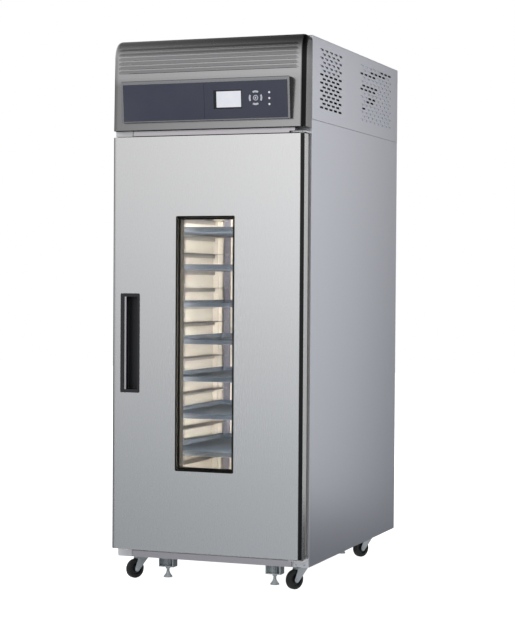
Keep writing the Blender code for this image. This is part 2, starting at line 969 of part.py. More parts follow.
def build_handle(middle, hinge):
    flange = rounded(handle_width, handle_height, handle_corner_radius, 2, middle)
    body_width = handle_width - 2 * handle_corner_radius - 2 * seat_gap
    body_height = handle_height - 2 * handle_corner_radius - 2 * seat_gap
    body = rounded(body_width, body_height, handle_corner_radius, 2, middle)
    mouth_width = handle_width - 2 * handle_border
    mouth_height = handle_height - 2 * handle_border
    mouth = rounded(mouth_width, mouth_height, handle_corner_radius, 2, middle)
    back = door_front + handle_cup_depth
    face = door_front - seat_gap
    lip_left = middle[0] - mouth_width / 2
    lip_half_height = mouth_height / 2 + weld_overlap
    lip = box(
        (lip_left - weld_overlap, lip_left + handle_lip_width),
        (face - handle_flange / 2, face + handle_lip_depth),
        (middle[1] - lip_half_height, middle[1] + lip_half_height),
    )
    cup = worked(
        "cup", prism(flange, face - handle_flange, face, along_y),
        join=[prism(body, face - handle_flange / 2, back + handle_cup_wall, along_y)],
        cut=[prism(mouth, face - handle_flange - overrun, back, along_y)],
    )
    shape = bmesh.new()
    shape.from_mesh(cup)
    bpy.data.meshes.remove(cup)
    place("handle_cup", worked("cup with lip", shape, join=[lip]), black_plastic(), hinge)


def build_hinges():
    right = half_width - door_side_inset
    left = right - hinge_plate_width
    nose = hinge_y - hinge_plate_nose
    low_top = door_bottom_height - hinge_plate_gap
    low_bottom = low_top - hinge_plate_thickness
    high_bottom = door_top_height + hinge_plate_gap
    high_top = high_bottom + hinge_plate_thickness
    flange_face = -hinge_flange_thickness - seat_gap
    for name, plate_z, flange_z, pin, collar in (
        (
            "hinge_bracket_bottom", (low_bottom, low_top), (body_clearance + sheet, low_top - weld_overlap),
            (low_top - weld_overlap, door_bottom_height + hinge_pin_depth),
            (low_top - weld_overlap, door_bottom_height - seat_gap),
        ),
        (
            "hinge_bracket_top", (high_bottom, high_top),
            (high_bottom + weld_overlap, fascia_bottom_height - seat_gap),
            (door_top_height - hinge_pin_depth, high_bottom + weld_overlap),
            (door_top_height + seat_gap, high_bottom + weld_overlap),
        ),
    ):
        outline = [
            (left, -seat_gap), (left, hinge_y), (hinge_x - hinge_plate_nose, nose), (right, nose),
            (right, -seat_gap),
        ]
        plate = prism(outline, *plate_z, along_z)
        flange = box((left + seat_gap, right - seat_gap), (flange_face, -seat_gap - seat_gap), flange_z)
        bracket = worked(
            name, plate,
            join=[
                flange,
                cylinder((hinge_x, hinge_y), hinge_pin_radius, *pin, along_z, small_circle_steps),
                cylinder((hinge_x, hinge_y), hinge_collar_radius, *collar, along_z, small_circle_steps),
            ],
        )
        place(name, bracket, galvanised(), smooth=round_finish)


# Fascia

def fascia_face(height):
    """Where the fascia's face lies at a height, and the outward direction there, both in the YZ plane."""
    bend_start = cabinet_height - fascia_bend_height
    straight = bend_start - fascia_bottom_height
    if height <= bend_start:
        share = (height - fascia_bottom_height) / straight
        run = Vector((fascia_lean, straight)).normalized()
        return Vector((door_front + fascia_lean * share, height)), Vector((-run.y, run.x))
    angle = math.asin(min(1.0, (height - bend_start) / fascia_bend_height))
    edge = door_front + fascia_lean + fascia_bend_depth
    point = Vector((edge - fascia_bend_depth * math.cos(angle), height))
    outward = Vector((-math.cos(angle) / fascia_bend_depth, math.sin(angle) / fascia_bend_height))
    return point, outward.normalized()


def fascia_outline(inset):
    """The side view of the fascia, drawn in by inset; the back edge stays on the body's front."""
    bend_start = cabinet_height - fascia_bend_height
    edge = door_front + fascia_lean + fascia_bend_depth
    points = [(door_front + inset, fascia_bottom_height + inset)]
    for i in range(fascia_bend_steps + 1):
        angle = math.pi / 2 * i / fascia_bend_steps
        points.append(
            (
                edge - (fascia_bend_depth - inset) * math.cos(angle),
                bend_start + (fascia_bend_height - inset) * math.sin(angle),
            )
        )
    back = overrun if inset else -seat_gap
    points.append((back, cabinet_height - inset))
    points.append((back, fascia_bottom_height + inset))
    return points


def louvre(height):
    """One pressed louvre: a low ridge, its nose near the upper edge, its ends sunk into the face."""
    point, outward = fascia_face(height)
    upward = Vector((-outward.y, outward.x))
    if upward.y < 0:
        upward.negate()
    half = louvre_height / 2
    nose_up = -half + louvre_height * louvre_nose_share
    section = ((-louvre_sink, -half), (0, -half), (louvre_nose, nose_up), (0, half), (-louvre_sink, half))
    reach = door_half_width - louvre_end_margin
    stations = ((-reach, 0), (-reach + louvre_end_taper, 1), (reach - louvre_end_taper, 1), (reach, 0))
    rings = []
    for x, full in stations:
        ring = []
        for out, up in section:
            out = out if full else min(out, -louvre_end_sink)
            place_at = point + outward * out + upward * up
            ring.append(Vector((x, place_at.x, place_at.y)))
        rings.append(ring)
    return loft(rings)


def build_fascia():
    def front_corner(a, b):
        same_side = abs(a.x - b.x) < seat_gap
        return same_side and min(a.y, b.y) < -sheet and max(a.y, b.y) < -sheet

    outer = prism(fascia_outline(0), -door_half_width, door_half_width, along_x)
    bevelled(outer, front_corner, fascia_corner_radius)
    inner = prism(
        fascia_outline(fascia_sheet), -door_half_width + fascia_sheet, door_half_width - fascia_sheet, along_x
    )
    bevelled(inner, front_corner, fascia_corner_radius - fascia_sheet)
    ridges = [louvre(louvre_first_height + i * louvre_pitch) for i in range(louvre_count)]
    fascia = worked("fascia", outer, join=[both(*ridges)], cut=[inner])
    place("fascia", fascia, dark_stainless(), smooth=round_finish)


# Control panel, worked in the tilted frame of its plates: x across, y inward, z up the slope

def tilted(shape, name, material, at=(0, 0, 0), smooth=None):
    centre = panel_origin + Matrix.Rotation(panel_lean, 3, "X") @ Vector(at)
    return place(name, shape, material, centre, panel_lean, local=True, smooth=smooth)


def arc_key_outline(grow):
    """The outline of the arc key at the top of the pad, its ends cut square to the ring."""
    outer = key_outer_radius + grow
    inner = key_inner_radius - grow
    half = key_half_angle + grow / key_inner_radius
    points = []
    for radius, start, end in ((outer, -half, half), (inner, half, -half)):
        for i in range(key_arc_steps + 1):
            angle = math.pi / 2 - (start + (end - start) * i / key_arc_steps)
            points.append((radius * math.cos(angle), radius * math.sin(angle)))
    return points


def turned_outline(outline, angle):
    return [
        (u * math.cos(angle) - v * math.sin(angle), u * math.sin(angle) + v * math.cos(angle))
        for u, v in outline
    ]


key_turns = (("key_up", 0.0), ("key_left", math.pi / 2), ("key_down", math.pi), ("key_right", -math.pi / 2))


def build_controls():
    half_height = plate_height / 2
    low = -half_height - housing_bottom_rim
    high = half_height + housing_top_rim
    slope = Matrix.Rotation(panel_lean, 3, "X")
    front_low = panel_origin + slope @ Vector((0, 0, low))
    front_high = panel_origin + slope @ Vector((0, 0, high))
    back_low, out_low = fascia_face(front_low.z)
    back_high, out_high = fascia_face(front_high.z)
    outline = [
        (front_low.y, front_low.z), (front_high.y, front_high.z),
        (back_high.x + out_high.x * seat_gap, front_high.z), (back_low.x + out_low.x * seat_gap, front_low.z),
    ]
    half = plate_width / 2 + housing_side_rim
    housing = prism(outline, -half, half, along_x)
    front_limit = (front_low.y + front_high.y) / 2

    def end_edges(a, b):
        beside = abs(a.x - b.x) < seat_gap
        level = abs(a.z - b.z) < seat_gap and a.z > front_high.z - sheet
        facing = max(a.y, b.y) < front_limit + housing_edge_radius and abs(a.z - b.z) > sheet
        return beside and (level or facing)

    bevelled(housing, end_edges, housing_edge_radius)
    into_tilt = (Matrix.Translation(panel_origin) @ slope.to_4x4()).inverted()
    bmesh.ops.transform(housing, matrix=into_tilt, verts=housing.verts)
    floor = plate_thickness + seat_gap
    recess = box(
        (-plate_width / 2 - seat_gap, plate_width / 2 + seat_gap), (-overrun, floor),
        (-half_height - seat_gap, half_height + seat_gap),
    )
    pocket = cylinder(
        (key_pad_offset, 0), key_outer_radius + key_pocket_margin, 0, floor + key_travel + seat_gap, along_y
    )
    tilted(worked("housing", housing, cut=[recess, pocket]), "control_housing", dark_stainless())

    z_range = (-half_height, half_height)
    place_blank = box((-plate_width / 2, -plate_joint / 2), (0, plate_thickness), z_range)
    tilted(place_blank, "blank_plate", slate_plastic())

    holes = [
        prism(
            shifted(turned_outline(arc_key_outline(key_gap), turn), (key_pad_offset, 0)),
            -overrun, plate_thickness + overrun, along_y,
        )
        for _, turn in key_turns
    ]
    holes.append(
        cylinder(
            (key_pad_offset, 0), key_centre_radius + key_gap, -overrun, plate_thickness + overrun, along_y,
            small_circle_steps,
        )
    )
    display_half = display_width / 2
    display_tall = display_height / 2
    through = (-overrun, plate_thickness + overrun)
    display_span = (display_offset - display_half, display_offset + display_half)
    holes.append(box(display_span, through, (-display_tall, display_tall)))
    lenses = [
        cylinder(
            (lamp_offset, i * lamp_pitch), lamp_radius, -lamp_proud, plate_thickness / 2, along_y,
            small_circle_steps,
        )
        for i in (-1, 0, 1)
    ]
    plate = worked(
        "plate", box((plate_joint / 2, plate_width / 2), (0, plate_thickness), z_range),
        join=[both(*lenses)], cut=[both(*holes)],
    )
    tilted(plate, "control_plate", slate_plastic())

    bezel = box(
        (-display_half + seat_gap, display_half - seat_gap), (display_setback, plate_thickness),
        (-display_tall + seat_gap, display_tall - seat_gap),
    )
    screen = box(
        (screen_offset - screen_width / 2, screen_offset + screen_width / 2),
        (-overrun, display_setback + screen_recess), (-screen_height / 2, screen_height / 2),
    )
    tilted(worked("display", bezel, cut=[screen]), "display", black_plastic(), (display_offset, 0, 0))

    at = (key_pad_offset, 0, 0)
    for name, turn in key_turns:
        key = prism(turned_outline(arc_key_outline(0), turn), -key_proud, plate_thickness, along_y)
        tilted(key, name, key_plastic(), at)
    centre = cylinder((0, 0), key_centre_radius, -key_proud, plate_thickness, along_y, small_circle_steps)
    tilted(centre, "key_centre", key_plastic(), at, smooth=round_finish)


# Machine compartment sheets

def slot_rows_of(setback, count, row_step):
    """Staggered rows: even rows hold count slots, odd rows one fewer, half a pitch along."""
    for row in range(0, slot_rows, row_step):
        odd = row % 2
        height = slot_first_height + row * slot_row_pitch
        for i in range(count - odd):
            yield setback + (i + odd / 2) * slot_pitch, height


def build_machine_sheets():
    top = cabinet_height - top_sheet - seat_gap
    # The condenser draws its air from the right, so the left panel has only every second row.
    for side, word, row_step in ((-1, "left", 2), (1, "right", 1)):
        inside = half_width - sheet
        lip = half_width - panel_return
        section = (
            (half_width, 0), (half_width, body_depth), (inside, body_depth), (inside, sheet), (lip, sheet),
            (lip, 0),
        )
        outline = [(side * across, along) for across, along in section]
        start, end = sorted((side * (half_width - sheet - overrun), side * (half_width + overrun)))
        cutters = [
            prism(slot(slot_length, slot_height, centre), start, end, along_x)
            for setback, count in (
                (front_slots_setback, front_slots_count), (rear_slots_setback, rear_slots_count)
            )
            for centre in slot_rows_of(setback, count, row_step)
        ]
        panel = worked("vents", prism(outline, deck_height, top, along_z), cut=[both(*cutters)])
        place("vent_panel_" + word, panel, stainless())

    inner = half_width - sheet - seat_gap
    middle = (deck_height + top) / 2
    cutters = []
    through = (body_depth - overrun, body_depth + overrun)
    spread = 2 * inner / back_slot_count
    for row in range(back_slot_rows):
        height = middle + (row - (back_slot_rows - 1) / 2) * back_slot_row_pitch
        for i in range(back_slot_count):
            centre = ((i - (back_slot_count - 1) / 2) * spread, height)
            cutters.append(prism(slot(back_slot_length, slot_height, centre), *through, along_y))
    sheet_back = box((-inner, inner), (body_depth - sheet, body_depth), (deck_height, top))
    place("rear_vent_panel", worked("rear", sheet_back, cut=[both(*cutters)]), stainless())
    cover = box((-half_width, half_width), (0, body_depth), (cabinet_height - top_sheet, cabinet_height))
    place("top_cover", cover, stainless())


# Racks, trays and lining of the chamber

def build_rack(side, word):
    post_in = chamber_inner - rack_post_depth
    web_out = post_in + runner_sheet
    web_in = web_out - runner_sheet - weld_overlap
    flange_in = web_out - runner_flange
    z_range = (chamber_bottom + seat_gap, chamber_top - rack_top_clearance)
    tray_end = tray_setback + tray_depth
    stop_near = tray_end + sheet
    stop_out = flange_in + rack_stop_overlap

    def span(a, b):
        return sorted((side * a, side * b))

    posts = [
        box(span(post_in, chamber_inner), (near, near + rack_post_width), z_range)
        for near in (rack_front_post_setback, rack_middle_post_setback)
    ]
    stop_x = span(stop_out - rack_stop_width, stop_out)
    posts.append(box(stop_x, (stop_near, stop_near + rack_stop_depth), z_range))
    run = (runner_front_setback, stop_near + rack_stop_depth / 2)
    runners = []
    for i in range(runner_count):
        top = tray_first_height - seat_gap + (i - runners_below_first) * runner_pitch
        profile = [
            (flange_in, top), (web_out, top), (web_out, top - runner_web), (web_in, top - runner_web),
            (web_in, top - runner_sheet), (flange_in, top - runner_sheet),
        ]
        runners.append(prism([(side * u, v) for u, v in profile], *run, along_y))
    rack = worked("rack", both(*posts), join=[both(*runners)])
    place("tray_rack_" + word, rack, galvanised())


def tray_shape():
    """Local to the middle of the tray's underside: a pan with tapered walls and round corners."""
    def ring(inset, at, radius):
        outline = rounded(tray_width - 2 * inset, tray_depth - 2 * inset, radius, 2)
        return [along_z(point, at) for point in outline]

    inner = tray_corner_radius - tray_sheet
    wall_inset = tray_taper + tray_sheet
    return loft([
        ring(tray_taper + tray_bend, 0, tray_corner_radius),
        ring(tray_taper, tray_bend, tray_corner_radius),
        ring(0, tray_height, tray_corner_radius),
        ring(tray_sheet, tray_height, inner),
        ring(wall_inset, tray_bend + tray_sheet / 2, inner),
        ring(wall_inset + tray_bend, tray_sheet, inner),
    ])


def build_trays():
    for i in range(tray_count):
        at = (0, tray_setback + tray_depth / 2, tray_first_height + i * tray_pitch)
        place(f"tray_{i + 1}", tray_shape(), tray_metal(), at, local=True)


def build_duct():
    low = chamber_bottom + seat_gap
    high = chamber_top - seat_gap
    face = duct_setback
    panel = box((-chamber_inner, chamber_inner), (face, face + duct_sheet), (low, high))
    ribs = []
    for side in (-1, 1):
        for i in range(duct_rib_count):
            middle = side * (chamber_inner - duct_rib_inset - duct_rib_width - i * duct_rib_pitch)
            half = duct_rib_width / 2
            section = [
                (middle - half, face + duct_sheet / 2), (middle - half / 2, face - duct_rib_depth),
                (middle + half / 2, face - duct_rib_depth), (middle + half, face + duct_sheet / 2),
            ]
            ribs.append(prism(section, low + duct_rib_margin, high - duct_rib_margin, along_z))
    cutters = []
    through = (face - overrun, face + overrun)
    bars = int(grille_radius / grille_bar_pitch)
    for i in range(-bars, bars + 1):
        rise = i * grille_bar_pitch
        length = 2 * math.sqrt(grille_radius**2 - rise**2)
        cutters.append(prism(slot(length, grille_slot_height, (0, fan_height + rise)), *through, along_y))
    for i in range(outlet_rows):
        centre = (0, outlet_first_height + i * outlet_row_pitch)
        cutters.append(prism(slot(outlet_length, outlet_height, centre), *through, along_y))
    place("air_duct_panel", worked("duct", panel, join=[both(*ribs)], cut=[both(*cutters)]), liner_steel())


def fan_mesh(bore_depth):
    """Local to the hub's middle, axis +Z, open at its back end for the shaft."""
    half = fan_hub_depth / 2
    hub = turned(
        ((fan_hub_radius - sheet, -half), (fan_hub_radius, -half + sheet), (fan_hub_radius, half)),
        small_circle_steps,
    )
    blades = []
    for i in range(fan_blade_count):
        rings = []
        # Both rings lie in one slanting plane, so that the blade's faces are flat.
        for radius, width in ((fan_root_radius, fan_root_width), (fan_radius, fan_tip_width)):
            along = width / 2 * math.cos(fan_blade_angle)
            rise = width / 2 * math.sin(fan_blade_angle)
            thick = fan_blade_thickness / 2
            rings.append([
                Vector((radius, -along, -rise - thick)), Vector((radius, along, rise - thick)),
                Vector((radius, along, rise + thick)), Vector((radius, -along, -rise + thick)),
            ])
        blade = loft(rings)
        turn = Matrix.Rotation(math.tau * i / fan_blade_count, 3, "Z")
        bmesh.ops.rotate(blade, cent=(0, 0, 0), matrix=turn, verts=blade.verts)
        blades.append(blade)
    bore = cylinder(
        (0, 0), shaft_radius + shaft_gap, half - bore_depth, half + overrun, along_z, small_circle_steps
    )
    return worked("fan", hub, join=[both(*blades)], cut=[bore])


def build_circulation():
    fan = fan_mesh(shaft_in_hub + seat_gap)
    fan.transform(Matrix.Rotation(-math.pi / 2, 4, "X"))
    place("circulation_fan", fan, black_plastic(), fan_centre, local=True)
    hub_back = fan_setback + fan_hub_depth / 2
    mount_face = back_face - seat_gap
    half = motor_mount_side / 2
    centre = (0, fan_height)
    motor_front = hub_back + motor_face_gap
    mount = box(
        (-half, half), (mount_face - motor_mount_sheet, mount_face), (fan_height - half, fan_height + half)
    )
    can = cylinder(centre, motor_radius, motor_front, mount_face - motor_mount_sheet / 2, along_y)
    shaft = cylinder(
        centre, shaft_radius, hub_back - shaft_in_hub, motor_front + weld_overlap, along_y, small_circle_steps
    )
    motor = worked("motor", mount, join=[can, shaft])
    place("circulation_fan_motor", motor, machine_black(), smooth=round_finish)


def heater_route():
    """Passes across the duct joined by half-circle bends, both ends turning back to the flange."""
    points = []
    bend = heater_pitch / 2
    back = back_face - seat_gap - heater_flange_sheet / 2
    points.append(Vector((-heater_half_width, back, heater_low_height)))
    points.append(Vector((-heater_half_width, heater_setback + bend, heater_low_height)))
    points.append(Vector((-heater_half_width + bend, heater_setback, heater_low_height)))
    for i in range(heater_passes - 1):
        side = 1 if i % 2 == 0 else -1
        height = heater_low_height + i * heater_pitch
        centre = Vector((side * (heater_half_width - bend), heater_setback, height + bend))
        for step in range(heater_bend_steps + 1):
            angle = -math.pi / 2 + math.pi * step / heater_bend_steps
            points.append(centre + Vector((side * bend * math.cos(angle), 0, bend * math.sin(angle))))
    top = heater_low_height + (heater_passes - 1) * heater_pitch
    points.append(Vector((-heater_half_width + bend, heater_setback, top)))
    points.append(Vector((-heater_half_width, heater_setback + bend, top)))
    points.append(Vector((-heater_half_width, back, top)))
    return points


def build_heater():
    curve = bpy.data.curves.new("heater route", "CURVE")
    curve.dimensions = "3D"
    curve.bevel_depth = heater_tube_radius
    curve.bevel_resolution = 2
    curve.use_fill_caps = True
    spline = curve.splines.new("POLY")
    route = heater_route()
    spline.points.add(len(route) - 1)
    for point, place_at in zip(spline.points, route):
        point.co = (*place_at, 1.0)
    guide = bpy.data.objects.new("heater guide", curve)
    bpy.context.scene.collection.objects.link(guide)
    bpy.context.view_layer.update()
    graph = bpy.context.evaluated_depsgraph_get()
    mesh = bpy.data.meshes.new_from_object(guide.evaluated_get(graph))
    bpy.data.objects.remove(guide)
    tube = bmesh.new()
    tube.from_mesh(mesh)
    bpy.data.meshes.remove(mesh)
    bmesh.ops.remove_doubles(tube, verts=tube.verts, dist=merge_distance)
    bmesh.ops.recalc_face_normals(tube, faces=tube.faces)
    top = heater_low_height + (heater_passes - 1) * heater_pitch
    face = back_face - seat_gap
    flange = box(
        (-heater_half_width - heater_flange_margin, -heater_half_width + heater_flange_margin),
        (face - heater_flange_sheet, face),
        (heater_low_height - heater_flange_margin, top + heater_flange_margin),
    )
    place("air_heater", worked("heater", flange, join=[tube]), galvanised(), smooth=round_finish)


def build_chamber_fittings():
    low = chamber_bottom + seat_gap
    half = pan_width / 2
    block = box((-half, half), (pan_setback, pan_setback + pan_depth), (low, low + pan_height))
    hollow = box(
        (-half + pan_wall, half - pan_wall), (pan_setback + pan_wall, pan_setback + pan_depth - pan_wall),
        (low + pan_wall, low + pan_height + overrun),
    )
    place("humidifier_pan", worked("pan", block, cut=[hollow]), stainless())
    top = chamber_top - seat_gap
    half = ceiling_lamp_width / 2
    middle = ceiling_lamp_setback + half
    section = [
        (middle - half, top), (middle - half + ceiling_lamp_taper, top - ceiling_lamp_height),
        (middle + half - ceiling_lamp_taper, top - ceiling_lamp_height), (middle + half, top),
    ]
    lamp = prism(section, -ceiling_lamp_length / 2, ceiling_lamp_length / 2, along_x)
    place("interior_lamp", lamp, lamp_diffuser())


# Machinery on the deck

def build_machinery():
    low = deck_height
    half = compressor_plate_side / 2
    centre = (compressor_x, compressor_setback)
    can_low = low + compressor_plate_sheet / 2
    profile = [
        (compressor_radius * radius_share, can_low + compressor_height * rise_share)
        for radius_share, rise_share in compressor_profile_shares
    ]
    plate = box(
        (centre[0] - half, centre[0] + half), (centre[1] - half, centre[1] + half),
        (low, low + compressor_plate_sheet),
    )
    compressor = worked("compressor", turned(profile, circle_steps, along_z, centre), join=[plate])
    place("compressor", compressor, machine_black(), smooth=round_finish)

    outer = half_width - sheet - condenser_side_gap
    inner = outer - condenser_depth
    near = condenser_setback
    pitch = condenser_length / fin_count
    core = inner + condenser_core
    outline = [(inner, near), (inner, near + condenser_length)]
    for i in reversed(range(fin_count)):
        start = near + i * pitch
        fin_start = start + pitch * (1 - fin_share)
        outline += [(outer, start + pitch), (outer, fin_start), (core, fin_start), (core, start)]
    base_top = low + condenser_base_sheet
    block = prism(outline, base_top - weld_overlap, base_top + condenser_height, along_z)
    base = box((outer - condenser_base_width, outer), (near, near + condenser_length), (low, base_top))
    fan_y = near + condenser_length / 2
    fan_z = base_top + condenser_height / 2
    fan_x = inner - condenser_fan_gap - fan_hub_depth / 2
    hub_back = fan_x - fan_hub_depth / 2
    motor_near = hub_back - motor_face_gap
    motor_far = motor_near - condenser_motor_length
    arm = box(
        (motor_far, motor_far + condenser_arm_thickness),
        (fan_y - condenser_arm_width / 2, fan_y + condenser_arm_width / 2), (low + weld_overlap, fan_z),
    )
    centre = (fan_y, fan_z)
    can = cylinder(centre, condenser_motor_radius, motor_far - weld_overlap, motor_near, along_x)
    shaft = cylinder(
        centre, shaft_radius, motor_near - weld_overlap, hub_back + shaft_in_hub, along_x, small_circle_steps
    )
    place("condenser", worked("condenser", block, join=[base, arm, can, shaft]), fin_aluminium())
    fan = fan_mesh(shaft_in_hub + seat_gap)
    fan.transform(Matrix.Rotation(-math.pi / 2, 4, "Y"))
    place("condenser_fan", fan, black_plastic(), (fan_x, fan_y, fan_z), local=True)


def main():
    for old in list(bpy.data.objects):
        bpy.data.objects.remove(old)
    build_body()
    build_base()
    build_casters()
    build_feet()
    build_door()
    build_hinges()
    build_fascia()
    build_controls()
    build_machine_sheets()
    for side, word in ((-1, "left"), (1, "right")):
        build_rack(side, word)
    build_trays()
    build_duct()
    build_circulation()
    build_heater()
    build_chamber_fittings()
    build_machinery()


main()
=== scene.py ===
"""Proofing cabinet: the looks of a tall bakery proofer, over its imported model."""

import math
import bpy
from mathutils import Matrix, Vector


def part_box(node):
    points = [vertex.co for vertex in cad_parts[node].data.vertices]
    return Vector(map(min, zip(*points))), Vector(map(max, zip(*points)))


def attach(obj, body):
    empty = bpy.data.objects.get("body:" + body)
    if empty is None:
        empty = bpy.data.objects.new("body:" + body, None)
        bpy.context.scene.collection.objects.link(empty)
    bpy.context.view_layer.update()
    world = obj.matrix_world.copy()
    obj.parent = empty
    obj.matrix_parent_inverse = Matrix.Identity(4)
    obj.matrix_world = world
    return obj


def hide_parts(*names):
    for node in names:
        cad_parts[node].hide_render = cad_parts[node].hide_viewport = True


bl_info = {
    "name": "Proofing Cabinet",
    "version": (1, 0, 0),
    "blender": (4, 5, 0),
    "location": "3D Viewport > Sidebar > Proofer",
    "description": "Models and finishes the pieces of a proofing cabinet over its construction model",
    "category": "Add Mesh",
}

import bmesh
import bpy
from bpy.props import FloatProperty, FloatVectorProperty, IntProperty, PointerProperty
from mathutils import Matrix, Vector

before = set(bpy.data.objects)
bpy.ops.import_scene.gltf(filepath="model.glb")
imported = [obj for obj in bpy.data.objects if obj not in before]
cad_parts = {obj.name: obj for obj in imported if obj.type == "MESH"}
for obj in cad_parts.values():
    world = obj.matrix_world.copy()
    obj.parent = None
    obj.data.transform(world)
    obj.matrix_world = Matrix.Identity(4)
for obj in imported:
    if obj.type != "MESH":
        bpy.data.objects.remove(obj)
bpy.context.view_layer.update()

# Places taken from the frame
side_low, side_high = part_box("side_panel_right")
door_low, door_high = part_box("door_shell")
liner_low, liner_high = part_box("door_liner")
window_low, window_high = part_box("window_frame")
glass_low, glass_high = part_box("glass_unit")
hood_low, hood_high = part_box("fascia")
cover_low, cover_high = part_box("top_cover")
half_width = side_high.x
body_front = side_low.y
body_back = side_high.y
blank_low, blank_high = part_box("blank_plate")

# Sizes that the frame doesn't hold, in metres
mm = 0.001
panel_lean = math.radians(5.0)
panel_centre = Vector((0, (blank_low.y + blank_high.y) / 2, (blank_low.z + blank_high.z) / 2))
sheet = 2 * mm
liner_sheet = 1.5 * mm
hood_lean = 7.7 * mm
hood_bend_height = 75 * mm
hood_bend_depth = 45 * mm
hood_corner = 22 * mm
hood_gap = 0.6 * mm
louvre_first = 1980.8 * mm
louvre_pitch = 16.9 * mm
louvre_height = 13.3 * mm
louvre_nose = 3.2 * mm
louvre_foot = 1.6 * mm
louvre_end_margin = 18 * mm
louvre_taper = 18 * mm
slot_pitch = 57 * mm
slot_row_pitch = 15.71 * mm
slot_first = 1844 * mm
slot_height = 8 * mm
front_slots = body_front + 112 * mm
rear_slots = body_front + 628 * mm
front_slot_count = 5
rear_slot_count = 8
even_slot_rows = 8
top_slot_row = 2 * (even_slot_rows - 1)
window_corner = 6 * mm
tray_rows = 7
runner_rows = 20
key_pad_x = 208.5 * mm
display_x = 96 * mm
lamp_x = 263 * mm
lamp_pitch = 22 * mm
lamp_drop = 3 * mm
plate_half = 335 * mm
plate_half_thickness = 1.5 * mm
plate_low = -75 * mm
plate_high = 63.5 * mm
housing_drop = 9 * mm
stem_x = 335 * mm
stem_front = 75 * mm
stem_rear = 930 * mm
caster_trail = 30 * mm
wheel_radius = 37.5 * mm
wheel_width = 25 * mm
screw_head_out = 2.1 * mm

# Working values
# A cutter reaches this far past what it cuts.
overrun = 20 * mm
# A face, an edge or a point this close to a place counts as being there.
touch = 1 * mm
# The share of an edge's or a face's direction past which it counts as running along an axis.
straight_share = 0.9
# A bevel's share of the height, just under half, so that the two bevels of a bar's end don't meet.
round_end_share = 0.499


# Settings that a user would change

class ProoferSettings(bpy.types.PropertyGroup):
    steel_colour: FloatVectorProperty(
        name="Door steel", description="Colour of the brushed steel of the door", subtype="COLOR",
        size=3, min=0, max=1, default=(0.66, 0.658, 0.66),
    )
    side_colour: FloatVectorProperty(
        name="Side steel", description="Colour of the steel of the sides", subtype="COLOR",
        size=3, min=0, max=1, default=(0.725, 0.740, 0.805),
    )
    hood_colour: FloatVectorProperty(
        name="Fascia steel", description="Colour of the darker steel over the door", subtype="COLOR",
        size=3, min=0, max=1, default=(0.365, 0.360, 0.367),
    )
    louvre_count: IntProperty(
        name="Louvres", description="Pressed louvres over the control panel", default=6, min=1, max=6
    )
    slot_length: FloatProperty(
        name="Vent slot length", description="Length of one slot of the side vents", default=40 * mm,
        min=10 * mm, max=50 * mm, unit="LENGTH",
    )
    fin_pitch: FloatProperty(
        name="Fin pitch", description="Distance from one condenser fin to the next", default=4 * mm,
        min=2 * mm, max=10 * mm, unit="LENGTH",
    )
    chamber_light: FloatProperty(
        name="Chamber light", description="Power of the lamps inside the chamber", default=90.0, min=0,
        unit="POWER",
    )


def settings():
    return bpy.context.scene.proofing_cabinet


# Colour and nodes

def srgb(code):
    """The linear colour of an sRGB hex value."""
    parts = [int(code[i:i + 2], 16) / 255 for i in (1, 3, 5)]
    linear = [part / 12.92 if part <= 0.04045 else ((part + 0.055) / 1.055) ** 2.4 for part in parts]
    return (*linear, 1.0)


def add_node(tree, kind, inputs=None, **choices):
    """A node with its settings, and its inputs given as values or as sockets to link."""
    made = tree.nodes.new(kind)
    for name, choice in choices.items():
        setattr(made, name, choice)
    for name, value in (inputs or {}).items():
        if isinstance(value, bpy.types.NodeSocket):
            tree.links.new(value, made.inputs[name])
        else:
            made.inputs[name].default_value = value
    return made


def fresh(name):
    """An empty material's tree, its Principled shader and the material."""
    material = bpy.data.materials.new(name)
    material.use_nodes = True
    tree = material.node_tree
    return material, tree, tree.nodes["Principled BSDF"]


made_materials = {}


def once(build):
    """Makes a material the first time that it is asked for."""
    def get():
        if build.__name__ not in made_materials:
            made_materials[build.__name__] = build()
        return made_materials[build.__name__]
    return get


def brushed(name, light, dark, roughness, grain_axis, grain=0.6 * mm, length=60 * mm, bump=0.10, cloud=0.10):
    """Sheet metal rubbed in one direction: fine lines along it, and soft clouds from handling."""
    material, tree, shader = fresh(name)
    place = add_node(tree, "ShaderNodeTexCoord").outputs["Object"]
    scale = [1 / grain] * 3
    scale[grain_axis] = 1 / length
    stretched = add_node(tree, "ShaderNodeMapping", {"Vector": place, "Scale": scale}).outputs["Vector"]
    lines = add_node(
        tree, "ShaderNodeTexNoise", {"Vector": stretched, "Scale": 1.0, "Detail": 3.0, "Roughness": 0.6}
    ).outputs["Fac"]
    clouds = add_node(
        tree, "ShaderNodeTexNoise", {"Vector": place, "Scale": 3.5, "Detail": 2.0, "Roughness": 0.5}
    ).outputs["Fac"]
    worn = add_node(tree, "ShaderNodeMath", {0: clouds, 1: cloud}, operation="MULTIPLY").outputs[0]
    line_share = add_node(tree, "ShaderNodeMath", {0: lines, 1: 0.5}, operation="MULTIPLY").outputs[0]
    share = add_node(tree, "ShaderNodeMath", {0: line_share, 1: worn}, operation="ADD").outputs[0]
    tint = add_node(
        tree, "ShaderNodeMix", {"Factor": share, 6: dark, 7: light}, data_type="RGBA"
    ).outputs[2]
    rough = add_node(
        tree, "ShaderNodeMapRange", {"Value": lines, "To Min": roughness - 0.05, "To Max": roughness + 0.07}
    ).outputs["Result"]
    ridge = add_node(
        tree, "ShaderNodeBump", {"Height": lines, "Strength": bump, "Distance": 0.05 * mm}
    ).outputs["Normal"]
    tree.links.new(tint, shader.inputs["Base Color"])
    tree.links.new(rough, shader.inputs["Roughness"])
    tree.links.new(ridge, shader.inputs["Normal"])
    shader.inputs["Metallic"].default_value = 1.0
    return material


